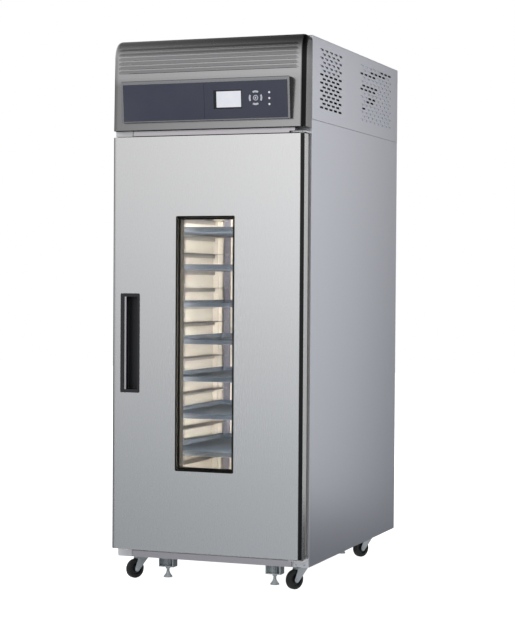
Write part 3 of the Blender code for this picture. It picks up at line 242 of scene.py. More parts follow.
def speckled(name, light, dark, roughness, metallic, size, bump=0.1, detail=2.0):
    """A moulded, cast or coated surface: a fine grain of the given size, in colour, gloss and height."""
    material, tree, shader = fresh(name)
    place = add_node(tree, "ShaderNodeTexCoord").outputs["Object"]
    grain = add_node(
        tree, "ShaderNodeTexNoise", {"Vector": place, "Scale": 1 / size, "Detail": detail}
    ).outputs["Fac"]
    patch = add_node(
        tree, "ShaderNodeTexNoise", {"Vector": place, "Scale": 6.0, "Detail": 2.0}
    ).outputs["Fac"]
    tint = add_node(
        tree, "ShaderNodeMix", {"Factor": patch, 6: dark, 7: light}, data_type="RGBA"
    ).outputs[2]
    rough = add_node(
        tree, "ShaderNodeMapRange", {"Value": grain, "To Min": roughness - 0.06, "To Max": roughness + 0.06}
    ).outputs["Result"]
    pits = add_node(
        tree, "ShaderNodeBump", {"Height": grain, "Strength": bump, "Distance": 0.1 * mm}
    ).outputs["Normal"]
    tree.links.new(tint, shader.inputs["Base Color"])
    tree.links.new(rough, shader.inputs["Roughness"])
    tree.links.new(pits, shader.inputs["Normal"])
    shader.inputs["Metallic"].default_value = metallic
    return material


def stripe(tree, x, side, start, end, soft, level):
    """One outside a stripe on one side of the object (1 right, -1 left), and the level inside it.

    The stripe's start is softer than its end.
    """
    outward = add_node(tree, "ShaderNodeMath", {0: x, 1: side}, operation="MULTIPLY").outputs[0]
    inside = 1.0
    for first, last, low, high in ((start, start + soft, 0.0, 1.0), (end - soft / 4, end, 1.0, 0.0)):
        edge = add_node(
            tree, "ShaderNodeMapRange",
            {"Value": outward, "From Min": first, "From Max": last, "To Min": low, "To Max": high},
        ).outputs["Result"]
        inside = add_node(tree, "ShaderNodeMath", {0: edge, 1: inside}, operation="MULTIPLY").outputs[0]
    return add_node(tree, "ShaderNodeMix", {"Factor": inside, 2: 1.0, 3: level}, data_type="FLOAT").outputs[0]


def toned(material, tone):
    """Multiplies the material's colour by the factors that the tone gives for a place on the object: painted
    shade and painted reflections.
    """
    tree = material.node_tree
    shader = tree.nodes["Principled BSDF"]
    colour = shader.inputs["Base Color"].links[0].from_socket
    place = add_node(tree, "ShaderNodeTexCoord").outputs["Object"]
    parts = add_node(tree, "ShaderNodeSeparateXYZ", {0: place}).outputs
    for factor in tone(tree, parts["X"], parts["Z"]):
        colour = add_node(tree, "ShaderNodeVectorMath", {0: colour, 3: factor}, operation="SCALE").outputs[0]
    tree.links.new(colour, shader.inputs["Base Color"])


def shaded(colour, share):
    return tuple(part * share for part in colour[:3]) + (1.0,)


# Materials, named for the real ones, and for painted shade where that is what a colour is

@once
def door_steel():
    # Stainless 304 sheet with a vertical scratch-brush finish: soft, wide reflections.
    # Its two rounded upright edges are painted nearly black: a painted reflection of the room's dark sides,
    # not the steel's own colour.
    colour = settings().steel_colour
    material = brushed(
        "scratch-brushed stainless, door", shaded(colour, 1.05), shaded(colour, 0.95), 0.25, 2, bump=0.03
    )

    def tone(tree, x, z):
        edge = door_high.x
        # Painted reflection: a nearly black stripe over each rounded upright edge.
        return (
            stripe(tree, x, 1, edge - 13.5 * mm, edge - 0.2 * mm, 1.8 * mm, 0.05),
            stripe(tree, x, -1, edge - 9 * mm, edge + 5 * mm, 2 * mm, 0.06),
        )

    toned(material, tone)
    return material


@once
def side_steel():
    # Matt rolled stainless, cooler and duller than the door: it barely mirrors anything.
    colour = settings().side_colour
    return brushed(
        "matt rolled stainless, sides", shaded(colour, 1.08), shaded(colour, 0.92), 0.34, 2, length=90 * mm,
        bump=0.06,
    )


@once
def hood_steel():
    # Stainless brushed along its length before pressing: dark streaks run across the fascia.
    # Painted shade and painted reflections stand in for how the room lights the pressing: below the control
    # panel the face darkens towards the left, the top darkens towards the right, both ends are duller, a
    # nearly black stripe runs down the right bend and a dark one along the left end, fading out towards the
    # top.
    colour = settings().hood_colour
    material = brushed(
        "scratch-brushed stainless, fascia", shaded(colour, 1.14), shaded(colour, 0.86), 0.24, 0,
        length=80 * mm, bump=0.12,
    )

    def tone(tree, x, z):
        # Painted shade and painted reflections, set by place on the fascia.
        film_top = blank_high.z
        top = hood_high.z
        face_end = half_width - 0.9 * mm
        bend = half_width - hood_gap - hood_corner
        aside = add_node(tree, "ShaderNodeMath", {0: x}, operation="ABSOLUTE").outputs[0]
        tones = {}
        for name, value, start, end, first, last in (
            ("below", z, film_top - 12 * mm, film_top + 22 * mm, 1.0, 0.0),
            ("across the face", x, -half_width, half_width, 0.66, 0.94),
            ("above", z, top - 92 * mm, top - 36 * mm, 0.0, 1.0),
            ("across the top", x, -half_width, half_width, 1.12, 0.42),
            ("ends", aside, half_width - 1.2 * mm, half_width - 0.8 * mm, 1.0, 0.66),
            ("left", z, top - 150 * mm, top - 90 * mm, 0.25, 1.0),
        ):
            tones[name] = add_node(
                tree, "ShaderNodeMapRange",
                {"Value": value, "From Min": start, "From Max": end, "To Min": first, "To Max": last},
            ).outputs["Result"]
        lower = add_node(
            tree, "ShaderNodeMix", {"Factor": tones["below"], 2: 1.06, 3: tones["across the face"]},
            data_type="FLOAT",
        ).outputs[0]
        upper = add_node(
            tree, "ShaderNodeMix", {"Factor": tones["above"], 2: 1.0, 3: tones["across the top"]},
            data_type="FLOAT",
        ).outputs[0]
        # Painted reflection: a nearly black stripe down the right bend; painted shade along the left end.
        right = stripe(tree, x, 1, bend + 5.5 * mm, face_end, 2.2 * mm, 0.05)
        left = stripe(tree, x, -1, half_width - 12 * mm, face_end, 3 * mm, tones["left"])
        return lower, upper, tones["ends"], right, left

    toned(material, tone)
    return material


@once
def housing_steel():
    # The fascia's stainless on the control housing, its right end painted nearly black: painted shade, since
    # that end is turned away from the light.
    colour = settings().hood_colour
    material = brushed(
        "scratch-brushed stainless, control housing", shaded(colour, 1.08), shaded(colour, 0.82), 0.24, 0,
        length=80 * mm, bump=0.12,
    )
    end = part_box("control_housing")[1].x

    def tone(tree, x, z):
        # Painted shade: the right end nearly black.
        return (stripe(tree, x, 1, end - 0.9 * mm, end + 5 * mm, 0.4 * mm, 0.03),)

    toned(material, tone)
    return material


@once
def pan_steel():
    # Deep-drawn bright stainless: nearly a mirror, with faint drawing marks.
    return brushed("bright drawn stainless", srgb("#D2D4D6"), srgb("#B4B7BA"), 0.22, 1, length=40 * mm)


@once
def zinc():
    # Zinc plated and blue passivated steel: pale, slightly blue, cloudy.
    return speckled("blue passivated zinc", srgb("#D6DADB"), srgb("#B3B9BC"), 0.32, 1.0, 1.5 * mm)


@once
def caster_zinc():
    # Bright zinc on the casters' pressings, clouded by its passivation: half mirror, half milky.
    return speckled("clouded bright zinc", srgb("#DDE1E2"), srgb("#B9C0C3"), 0.34, 0.45, 1.2 * mm, 0.06)


@once
def slate_rubber():
    # Silicone key skins in the film's own slate.
    return speckled("slate silicone", srgb("#3F414E"), srgb("#343748"), 0.44, 0.0, 0.5 * mm, 0.05)


@once
def liner_enamel():
    # Stove enamelled liner sheet, cream: an even, faintly pebbled gloss.
    return speckled("cream stove enamel", srgb("#EDE7DB"), srgb("#E4DCCD"), 0.38, 0.0, 1.2 * mm, 0.08)


@once
def tray_coating():
    # Aluminium sheet with a slate non-stick coating: dull, blue-grey, faintly mottled.
    return speckled("slate non-stick coating", srgb("#68727F"), srgb("#505964"), 0.42, 0.0, 0.8 * mm, 0.12)


@once
def rack_coating():
    # Electropolished stainless: pale, soft, with faint clouds.
    return speckled("electropolished stainless", srgb("#C9C5C0"), srgb("#B2AFAC"), 0.42, 0.6, 1.0 * mm, 0.06)


@once
def black_abs():
    # Moulded black ABS with a spark-eroded grain: matt, no reflections.
    return speckled("moulded black ABS", srgb("#29292D"), srgb("#1E1E21"), 0.48, 0.0, 0.5 * mm, 0.25)


@once
def gloss_black():
    # Back-printed black acrylic: a deep, flat gloss.
    return speckled("black printed acrylic", srgb("#0D0D10"), srgb("#08080A"), 0.14, 0.0, 3 * mm, 0.0)


@once
def panel_film():
    # Hard-coated polyester film over the control panel: slate violet, satin, with a very fine texture.
    return speckled("slate polyester film", srgb("#494B59"), srgb("#383C4F"), 0.36, 0.0, 0.6 * mm, 0.06)


@once
def key_rubber():
    # Pale silicone keys with a lacquer: soft, satin.
    return speckled("lacquered silicone", srgb("#E2E2EA"), srgb("#D4D4DE"), 0.42, 0.0, 0.5 * mm, 0.05)


@once
def screen_light():
    # Backlit liquid crystal: an even cool white with faint mottling.
    material, tree, shader = fresh("backlit liquid crystal")
    place = add_node(tree, "ShaderNodeTexCoord").outputs["Object"]
    grain = add_node(
        tree, "ShaderNodeTexNoise", {"Vector": place, "Scale": 25.0, "Detail": 1.0}
    ).outputs["Fac"]
    tint = add_node(
        tree, "ShaderNodeMix", {"Factor": grain, 6: srgb("#E4E7F0"), 7: srgb("#F2F3F8")}, data_type="RGBA"
    ).outputs[2]
    tree.links.new(tint, shader.inputs["Emission Color"])
    shader.inputs["Base Color"].default_value = srgb("#24262C")
    shader.inputs["Emission Strength"].default_value = 0.86
    shader.inputs["Roughness"].default_value = 0.25
    return material


@once
def lamp_lens():
    # Frosted polycarbonate lens, lit from behind: milky white.
    material = speckled("frosted polycarbonate", srgb("#F4F4F6"), srgb("#E6E6EC"), 0.3, 0.0, 0.5 * mm, 0.05)
    shader = material.node_tree.nodes["Principled BSDF"]
    shader.inputs["Emission Color"].default_value = srgb("#FFFFFF")
    shader.inputs["Emission Strength"].default_value = 0.2
    return material


@once
def diffuser():
    # Opal acrylic over a warm lamp: it glows evenly.
    material = speckled("opal acrylic", srgb("#FFF3DC"), srgb("#FBEBCD"), 0.4, 0.0, 2 * mm, 0.02)
    shader = material.node_tree.nodes["Principled BSDF"]
    shader.inputs["Emission Color"].default_value = srgb("#FFE3B8")
    shader.inputs["Emission Strength"].default_value = 3.0
    return material


@once
def tyre_rubber():
    # Black elastic rubber tyre, dusty on the tread.
    return speckled("black elastic rubber", srgb("#1E1E1E"), srgb("#141414"), 0.62, 0.0, 0.9 * mm, 0.3)


@once
def hub_nylon():
    # Grey-black nylon rim.
    return speckled("black nylon", srgb("#232324"), srgb("#1A1A1B"), 0.40, 0.0, 0.6 * mm, 0.1)


@once
def white_nylon():
    # Moulded white nylon: bright, waxy.
    return speckled("white nylon", srgb("#FBFBFA"), srgb("#F4F4F2"), 0.44, 0.0, 0.8 * mm, 0.05)


@once
def white_coat():
    # White polyester powder coat on the small brackets: an orange-peel skin.
    return speckled("white powder coat", srgb("#F2F2F2"), srgb("#E8E8EA"), 0.42, 0.0, 1.4 * mm, 0.08)


@once
def sill_steel():
    # Satin stainless strip, ground along its length: a little darker and warmer than the door.
    return brushed("satin stainless, sill", srgb("#CDC9CD"), srgb("#B9B5B9"), 0.30, 0, length=60 * mm)


@once
def stop_painted_shade_grey():
    # A dull, even grey with a trace of violet, darker than the racks' pale coating: painted shade on the end
    # stops, which stand in the chamber's shade.
    return speckled("stop grey with painted shade", srgb("#8C8B96"), srgb("#7B7A86"), 0.46, 0.3, 1.0 * mm, 0.05)


@once
def filter_foam():
    # Black open-cell polyurethane foam of the dust mats.
    return speckled("black open-cell foam", srgb("#26282B"), srgb("#151618"), 0.93, 0.0, 2.5 * mm, 0.6)


@once
def box_coating():
    # Dark grey powder coat on the control box: dull, fine orange peel.
    return speckled("dark grey powder coat", srgb("#3A3E42"), srgb("#2E3235"), 0.52, 0.0, 1.2 * mm, 0.1)


@once
def seal_rubber():
    # Extruded grey EPDM: matt, with a slight bloom.
    return speckled("grey EPDM", srgb("#5B5B5C"), srgb("#4A4A4B"), 0.66, 0.0, 0.9 * mm, 0.15)


@once
def black_seal():
    # Extruded black EPDM round the glass.
    material = speckled("black EPDM", srgb("#211F1C"), srgb("#161513"), 0.72, 0.0, 0.9 * mm, 0.15)
    material.node_tree.nodes["Principled BSDF"].inputs["Specular IOR Level"].default_value = 0.12
    return material


@once
def pane_glass():
    # Tempered float glass: clear, a trace of green in the edge, a clean gloss.
    material, tree, shader = fresh("tempered float glass")
    place = add_node(tree, "ShaderNodeTexCoord").outputs["Object"]
    haze = add_node(
        tree, "ShaderNodeTexNoise", {"Vector": place, "Scale": 4.0, "Detail": 2.0}
    ).outputs["Fac"]
    rough = add_node(
        tree, "ShaderNodeMapRange", {"Value": haze, "To Min": 0.015, "To Max": 0.04}
    ).outputs["Result"]
    tree.links.new(rough, shader.inputs["Roughness"])
    shader.inputs["Base Color"].default_value = srgb("#1E2424")
    shader.inputs["Alpha"].default_value = 0.08
    shader.inputs["IOR"].default_value = 1.52
    return material


@once
def fin_aluminium():
    # Rolled aluminium foil fins: bright, with a slight wave.
    return brushed("rolled aluminium foil", srgb("#E6E8EA"), srgb("#C6C9CC"), 0.30, 2, length=20 * mm)


@once
def copper():
    # Drawn copper tube, a little oxidised.
    return speckled("drawn copper tube", srgb("#C9855F"), srgb("#A9643F"), 0.30, 1.0, 2 * mm, 0.05)


@once
def black_enamel():
    # Black baking enamel on the compressor can: glossy with a pebbled skin.
    return speckled("black baking enamel", srgb("#242526"), srgb("#181919"), 0.32, 0.0, 2.5 * mm, 0.15)


@once
def heater_alloy():
    # Nickel alloy heater sheath, straw-blue from heat.
    return speckled("heat-tinted nickel alloy", srgb("#7D7468"), srgb("#59565A"), 0.42, 1.0, 4 * mm, 0.08)


# Modelling by hand, in code

def deselect():
    if bpy.context.object and bpy.context.object.mode != "OBJECT":
        bpy.ops.object.mode_set(mode="OBJECT")
    bpy.ops.object.select_all(action="DESELECT")


def activate(*pieces):
    deselect()
    for piece in pieces:
        piece.select_set(True)
    bpy.context.view_layer.objects.active = pieces[0]


def apply_place(piece):
    activate(piece)
    bpy.ops.object.transform_apply(location=True, rotation=True, scale=True)


def block(name, low, high):
    """A box between two corners, a start to shape from."""
    deselect()
    low, high = Vector(low), Vector(high)
    bpy.ops.mesh.primitive_cube_add(size=1, location=(low + high) / 2, scale=high - low)
    piece = bpy.context.object
    piece.name = name
    apply_place(piece)
    return piece


turns = {"X": (0, math.pi / 2, 0), "Y": (-math.pi / 2, 0, 0), "Z": (0, 0, 0)}


def rod(name, centre, radius, length, axis="Z", sides=32, tip=None):
    """A cylinder, or a cone where tip is given, along an axis."""
    deselect()
    bpy.ops.mesh.primitive_cone_add(
        vertices=sides, radius1=radius, radius2=radius if tip is None else tip, depth=length,
        location=centre, rotation=turns[axis],
    )
    piece = bpy.context.object
    piece.name = name
    apply_place(piece)
    return piece


def edit(piece):
    activate(piece)
    bpy.ops.object.mode_set(mode="EDIT")


def pick(kind, test):
    """Selects in edit mode. The test gets a middle and a direction: a face's normal, an edge's run."""
    bpy.ops.mesh.select_mode(type=kind)
    bpy.ops.mesh.select_all(action="DESELECT")
    data = bpy.context.object.data
    mesh = bmesh.from_edit_mesh(data)
    if kind == "FACE":
        for face in mesh.faces:
            face.select_set(bool(test(face.calc_center_median(), face.normal)))
    elif kind == "EDGE":
        for edge in mesh.edges:
            a, b = (vert.co for vert in edge.verts)
            edge.select_set(bool(test((a + b) / 2, (b - a).normalized())))
    else:
        for vert in mesh.verts:
            vert.select_set(bool(test(vert.co, vert.normal)))
    mesh.select_flush_mode()
    bmesh.update_edit_mesh(data)


def leave():
    bpy.ops.object.mode_set(mode="OBJECT")


# Tests for pick: how an edge runs, and where a face looks

def runs_across(middle, run):
    return abs(run.x) > straight_share


def runs_through(middle, run):
    return abs(run.y) > straight_share


def runs_up(middle, run):
    return abs(run.z) > straight_share


def faces_up(middle, normal):
    return normal.z > straight_share


def faces_down(middle, normal):
    return normal.z < -straight_share


def faces_back(middle, normal):
    return normal.y > straight_share


def faces_aside(middle, normal):
    return abs(normal.x) > straight_share


def round_edges(piece, test, radius, segments=4, clamp=True):
    edit(piece)
    pick("EDGE", test)
    bpy.ops.mesh.bevel(offset=radius, segments=segments, affect="EDGES", clamp_overlap=clamp)
    leave()


def use_modifier(piece, kind, **choices):
    """Adds a modifier and applies it at once."""
    activate(piece)
    modifier = piece.modifiers.new(kind.lower(), kind)
    for name, choice in choices.items():
        setattr(modifier, name, choice)
    bpy.ops.object.modifier_apply(modifier=modifier.name)


def soften(piece, width, segments=2, angle=40):
    """A small bevel on every edge sharper than the angle."""
    use_modifier(
        piece, "BEVEL", width=width, segments=segments, limit_method="ANGLE",
        angle_limit=math.radians(angle), use_clamp_overlap=True,
    )


def cut(piece, cutter):
    use_modifier(piece, "BOOLEAN", operation="DIFFERENCE", solver="EXACT", object=cutter)
    bpy.data.objects.remove(cutter)


def weld(piece, other):
    use_modifier(piece, "BOOLEAN", operation="UNION", solver="EXACT", object=other)
    bpy.data.objects.remove(other)


def join(pieces):
    activate(*pieces)
    bpy.ops.object.join()
    return bpy.context.object


def repeat(piece, count, step):
    use_modifier(
        piece, "ARRAY", count=count, use_relative_offset=False, use_constant_offset=True,
        constant_offset_displace=step,
    )


def duplicate(piece, name, shift):
    """A copy with its own mesh, moved by shift."""
    copy = piece.copy()
    copy.data = piece.data.copy()
    copy.name = name
    bpy.context.scene.collection.objects.link(copy)
    copy.location = Vector(shift)
    apply_place(copy)
    return copy


def mend(piece):
    """Merges doubled points and turns the faces outwards."""
    edit(piece)
    bpy.ops.mesh.select_all(action="SELECT")
    bpy.ops.mesh.remove_doubles(threshold=0.01 * mm)
    bpy.ops.mesh.normals_make_consistent(inside=False)
    leave()


def turn(piece, angle, axis, centre):
    there = Matrix.Translation(centre)
    piece.matrix_world = there @ Matrix.Rotation(angle, 4, axis) @ there.inverted() @ piece.matrix_world
    apply_place(piece)


def obround(name, centre, length, height, depth, axis):
    """A bar with half-round ends: long along Y or X, height along Z, its depth along axis."""
    reach = Vector((length, depth, height) if axis == "Y" else (depth, length, height)) / 2
    centre = Vector(centre)
    bar = block(name, centre - reach, centre + reach)
    round_edges(bar, runs_through if axis == "Y" else runs_across, height * round_end_share, 5)
    return bar


def pipe(name, points, radius, resolution=4, smooth=True):
    """A round tube or bar along points."""
    curve = bpy.data.curves.new(name, "CURVE")
    curve.dimensions = "3D"
    curve.bevel_depth = radius
    curve.bevel_resolution = resolution
    curve.resolution_u = 8
    curve.use_fill_caps = True
    spline = curve.splines.new("BEZIER" if smooth else "POLY")
    if smooth:
        spline.bezier_points.add(len(points) - 1)
        for knot, point in zip(spline.bezier_points, points):
            knot.co = point
            knot.handle_left_type = knot.handle_right_type = "AUTO"
    else:
        spline.points.add(len(points) - 1)
        for knot, point in zip(spline.points, points):
            knot.co = (*point, 1.0)
    piece = bpy.data.objects.new(name, curve)
    bpy.context.scene.collection.objects.link(piece)
    activate(piece)
    bpy.ops.object.convert(target="MESH")
    piece = bpy.context.object
    mend(piece)
    return piece


def done(piece, body, material, slot, *nodes, angle=35):
    """Shades a finished piece, gives it its material, and fixes it to its body."""
    apply_place(piece)
    bpy.ops.object.shade_smooth_by_angle(angle=math.radians(angle))
    # Large flat faces keep their own direction beside rounded edges.
    use_modifier(piece, "WEIGHTED_NORMAL", keep_sharp=True)
    piece.data.materials.clear()
    piece.data.materials.append(material)
    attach(piece, body)
    if nodes:
        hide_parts(*nodes)
    return piece


def dress(node, material):
    """A CAD node keeps its shape and gets a better finish."""
    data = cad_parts[node].data
    data.materials.clear()
    data.materials.append(material)


def pan_screw(name, centre, axis, sign):
    """A pan-head screw with a cross recess, its head standing out along sign times the axis."""
    radius = 3.6 * mm
    height = 2.2 * mm
    sunk = 0.2 * mm
    shoulder = 0.9 * mm
    cross_width = 0.9 * mm
    cross_length = 4.2 * mm
    cross_depth = 1.2 * mm
    centre = Vector(centre)
    out = Vector([sign if letter == axis else 0 for letter in "XYZ"])
    head = rod(name, centre + out * (height / 2 - sunk), radius, height, axis, 20)
    top = centre + out * (height - sunk)
    round_edges(head, lambda middle, run: abs((middle - top).dot(out)) < touch / 10, shoulder, 3)
    index = "XYZ".index(axis)
    for across in range(3):
        if across == index:
            continue
        half = Vector((cross_width / 2,) * 3)
        half[across] = cross_length / 2
        half[index] = cross_depth
        cut(head, block("recess", top - half, top + half))
    return head


# Cabinet body

def make_side(side):
    """An insulated side: its steel skin outside and the enamelled chamber wall inside."""
    low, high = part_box(f"side_panel_{side}")
    sign, inner, outer = (1, low.x, high.x) if side == "right" else (-1, high.x, low.x)
    parting = 0.2 * mm
    inset = 3 * mm
    edge = inner + sign * liner_sheet
    start, end = sorted((edge + sign * parting, outer))
    skin = block(f"side_skin_{side}", (start, low.y, low.z), (end, high.y, high.z))
    soften(skin, 1.6 * mm, 3)
    done(skin, "cabinet", side_steel(), "stainless", f"side_panel_{side}")
    start, end = sorted((inner, edge))
    wall = block(
        f"chamber_wall_{side}", (start, low.y + inset, low.z + inset),
        (end, high.y - inset, high.z - inset),
    )
    soften(wall, 0.5 * mm, 2)
    done(wall, "cabinet", liner_enamel(), "liner")


def make_back():
    """The back's steel skin, its field pressed in, and two rows of screws."""
    border = 30 * mm
    slope = 3 * mm
    pressed = 2 * mm
    screw_in = 15 * mm
    screw_up = 20 * mm
    rows = 5
    low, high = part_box("back_panel")
    back = block("back_skin", low, high)
    edit(back)
    pick("FACE", faces_back)
    bpy.ops.mesh.inset(thickness=border)
    bpy.ops.mesh.inset(thickness=slope)
    bpy.ops.transform.translate(value=(0, -pressed, 0))
    leave()
    soften(back, 1.0 * mm, 2, 20)
    done(back, "cabinet", side_steel(), "stainless", "back_panel")
    first = pan_screw(
        "back_screw_1", (low.x + screw_in, high.y - screw_head_out, low.z + screw_up), "Y", 1
    )
    across = high.x - low.x - 2 * screw_in
    rise = (high.z - low.z - 2 * screw_up) / (rows - 1)
    shifts = [(side * across, 0, row * rise) for side in (0, 1) for row in range(rows)]
    for i, shift in enumerate(shifts[1:]):
        copy = duplicate(first, f"back_screw_{i + 2}", shift)
        done(copy, "cabinet", zinc(), "zinc")
    done(first, "cabinet", zinc(), "zinc")


def make_opening():
    """The breaker strip round the door opening, which the seal closes on."""
    low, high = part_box("door_opening_frame")
    ring = block("breaker_strip", low, high)
    edge = 12 * mm
    hole = block(
        "hole", (low.x + edge, low.y - overrun, low.z + edge),
        (high.x - edge, high.y + overrun, high.z - edge),
    )
    round_edges(hole, runs_through, edge, 6)
    cut(ring, hole)
    soften(ring, 0.8 * mm, 2)
    done(ring, "cabinet", seal_rubber(), "seal_rubber", "door_opening_frame")


class PROOFER_OT_body(bpy.types.Operator):
    """Side skins and chamber walls, back, top cover, and the strip round the door opening"""

    bl_idname = "proofer.body"
    bl_label = "Cabinet body"

    def execute(self, context):
        for side in ("left", "right"):
            make_side(side)
        make_back()
        cover = block("cover_sheet", cover_low, cover_high)
        soften(cover, 1.0 * mm, 3)
        done(cover, "cabinet", side_steel(), "stainless", "top_cover")
        for node in ("chamber_floor", "chamber_roof"):
            dress(node, liner_enamel())
        make_opening()
        return {"FINISHED"}


# Base frame, sill, casters and feet

def make_head():
    """The steel strip over the door opening, and the white guide block at its left end."""
    gap = 0.6 * mm
    low = door_high.z + 5 * mm
    high = hood_low.z - 1.5 * mm
    near = body_front - 60 * mm
    start = -316 * mm
    end = 348 * mm
    # The right end runs on over the upper hinge bracket's plate, clear of its flange and screws.
    notch_start = 326 * mm
    flange_near = body_front - 16 * mm
    plate_top = door_high.z + 10.5 * mm
    reach = overrun / 2
    past = Vector((end, body_front, high)) + Vector((1, 1, 1)) * reach
    strip = block("head_strip", (start, near, low), (end, body_front, high))
    cut(strip, block(
        "notch", (notch_start, near - reach, low - reach), (past.x, past.y, plate_top + gap)
    ))
    cut(strip, block("notch", (notch_start, flange_near, low - reach), past))
    soften(strip, 0.8 * mm, 2)
    done(strip, "cabinet", sill_steel(), "stainless")
    guide_start = -half_width + 7 * mm
    guide = block(
        "head_guide", (guide_start, near - 4 * mm, low - 1.5 * mm), (start - gap, body_front, high)
    )
    soften(guide, 1.2 * mm, 3)
    done(guide, "cabinet", white_nylon(), "liner")


def make_sill():
    """The strip under the door, and the white bracket at its left end."""
    step = 2 * mm
    bracket_length = 60 * mm
    gap = 0.6 * mm
    strip_drop = 5 * mm
    bracket_drop = 1 * mm
    screw_in = 14 * mm
    screw_near = 2.3 * mm
    low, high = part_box("front_sill")
    strip = block(
        "sill_strip", (low.x + bracket_length, low.y + step, low.z), (high.x, high.y, high.z - strip_drop)
    )
    soften(strip, 1.0 * mm, 3)
    done(strip, "cabinet", sill_steel(), "stainless", "front_sill")
    bracket = block("sill_bracket", low, (low.x + bracket_length - gap, high.y, high.z - bracket_drop))
    soften(bracket, 1.2 * mm, 3)
    done(bracket, "cabinet", white_coat(), "stainless")
    for i, x in enumerate((low.x + screw_in, low.x + bracket_length - screw_in)):
        place = (x, low.y + screw_near, (low.z + high.z) / 2)
        done(pan_screw(f"sill_screw_{i + 1}", place, "Y", -1), "cabinet", zinc(), "zinc")


def make_hinges():
    """The hinge brackets keep their shape and get two screws each, in the middle of the flange."""
    flange_half = 7 * mm
    screw_in = 14 * mm
    flange_thickness = 4.2 * mm
    for end, sign in (("top", 1), ("bottom", -1)):
        node = f"hinge_bracket_{end}"
        dress(node, white_coat())
        low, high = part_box(node)
        middle = (high.z if sign > 0 else low.z) - sign * flange_half
        for i, x in enumerate((low.x + screw_in, high.x - screw_in)):
            place = (x, high.y - flange_thickness, middle)
            done(pan_screw(f"hinge_{end}_screw_{i + 1}", place, "Y", -1), "cabinet", zinc(), "zinc")


class PROOFER_OT_base(bpy.types.Operator):
    """The welded base frame, the strips over and under the door, and the hinge brackets"""

    bl_idname = "proofer.base"
    bl_label = "Base and brackets"

    def execute(self, context):
        dress("base_frame", zinc())
        make_sill()
        make_head()
        make_hinges()
        return {"FINISHED"}


caster_places = [(end, side) for end in ("front", "rear") for side in ("left", "right")]


def caster_stem(end, side):
    """Where a caster's swivel axis meets the floor."""
    setback = stem_front if end == "front" else stem_rear
    return Vector((-stem_x if side == "left" else stem_x, body_front + setback, 0))


def caster_turn(end, side):
    """How far a caster rests turned about its stem, from where its wheel is."""
    low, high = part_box(f"caster_wheel_{end}_{side}")
    away = (low + high) / 2 - caster_stem(end, side)
    return math.atan2(away.x, -away.y)


def make_tyre(hub):
    """A tread with rounded shoulders, bored for the rim."""
    width = wheel_width - 1 * mm
    bore_radius = 23.5 * mm
    shoulder = 6 * mm
    tyre = rod("tyre", hub, wheel_radius, width, "X", 64)

    def rim_edge(middle, run):
        around = math.hypot(middle.y - hub.y, middle.z - hub.z)
        return around > wheel_radius - touch / 2 and abs(middle.x - hub.x) > width / 2 - touch / 10

    round_edges(tyre, rim_edge, shoulder, 7)
    cut(tyre, rod("bore", hub, bore_radius, 2 * width, "X", 64))
    soften(tyre, 0.5 * mm, 2)
    return tyre


def make_rim(hub):
    """A dished nylon rim: a raised lip, a sunk web and a hub that stands out again."""
    width = wheel_width - 3.4 * mm
    radius = 23.7 * mm
    lip = 3 * mm
    web = 10 * mm
    step = 1 * mm
    web_share = 0.55
    bore_radius = 5.4 * mm
    rim = rod("rim", hub, radius, width, "X", 64)
    edit(rim)
    pick("FACE", faces_aside)
    bpy.ops.mesh.inset(thickness=lip, use_individual=True)
    bpy.ops.transform.resize(value=(web_share, 1, 1), center_override=hub)
    bpy.ops.mesh.inset(thickness=web, use_individual=True)
    bpy.ops.mesh.inset(thickness=step, use_individual=True)
    bpy.ops.transform.resize(value=(wheel_width / (width * web_share), 1, 1), center_override=hub)
    leave()
    cut(rim, rod("bore", hub, bore_radius, 2 * width, "X", 32))
    soften(rim, 0.3 * mm, 2, 50)
    return rim


def make_yoke(hub, stem):
    """A pressed fork: a flat crown over the wheel, two cheeks that narrow to the axle, ball race, pin."""
    inner = 14.6 * mm
    outer = 17.0 * mm
    foot_radius = 10.8 * mm
    cheek_half = 23 * mm
    crown_half = 24 * mm
    crown_low = 77.9 * mm
    crown_top = 82.3 * mm
    race_middle = 85.2 * mm
    race_radius = 20 * mm
    race_height = 7.8 * mm
    pin_middle = 95 * mm
    pin_radius = 6 * mm
    pin_length = 13 * mm
    cheeks = []
    for side in (-1, 1):
        middle = (hub.x + side * (inner + outer) / 2, hub.y, hub.z)
        disc = rod("cheek", middle, foot_radius, outer - inner, "X", 40)
        start, end = sorted((hub.x + side * inner, hub.x + side * outer))
        top = block(
            "cheek_top", (start, stem.y - cheek_half, crown_low), (end, stem.y + cheek_half, crown_top)
        )
        cheek = join([disc, top])
        edit(cheek)
        bpy.ops.mesh.select_all(action="SELECT")
        bpy.ops.mesh.convex_hull()
        leave()
        cheeks.append(cheek)
    crown = block(
        "crown", (hub.x - outer, stem.y - crown_half, crown_low),
        (hub.x + outer, stem.y + crown_half, crown_top),
    )
    round_edges(crown, runs_up, 6 * mm, 6)
    for cheek in cheeks:
        weld(crown, cheek)
    race = rod("race", (stem.x, stem.y, race_middle), race_radius, race_height, "Z", 48)
    round_edges(
        race, lambda middle, run: not runs_up(middle, run) and middle.z < race_middle - touch, 2.5 * mm, 4
    )
    weld(crown, race)
    weld(crown, rod("pin", (stem.x, stem.y, pin_middle), pin_radius, pin_length, "Z", 32))
    soften(crown, 0.5 * mm, 2, 35)
    return crown


def make_axle(hub):
    """The axle bolt: its shank, a hexagon head at one end and a nut at the other."""
    shank_radius = 4.5 * mm
    shank_length = 39.6 * mm
    nut_out = 18.7 * mm
    nut_radius = 6.4 * mm
    nut_height = 3.2 * mm
    shank = rod("shank", hub, shank_radius, shank_length, "X", 24)
    for side in (-1, 1):
        nut = rod("nut", (hub.x + side * nut_out, hub.y, hub.z), nut_radius, nut_height, "X", 6)
        soften(nut, 0.4 * mm, 2)
        weld(shank, nut)
    soften(shank, 0.3 * mm, 2)
    return shank


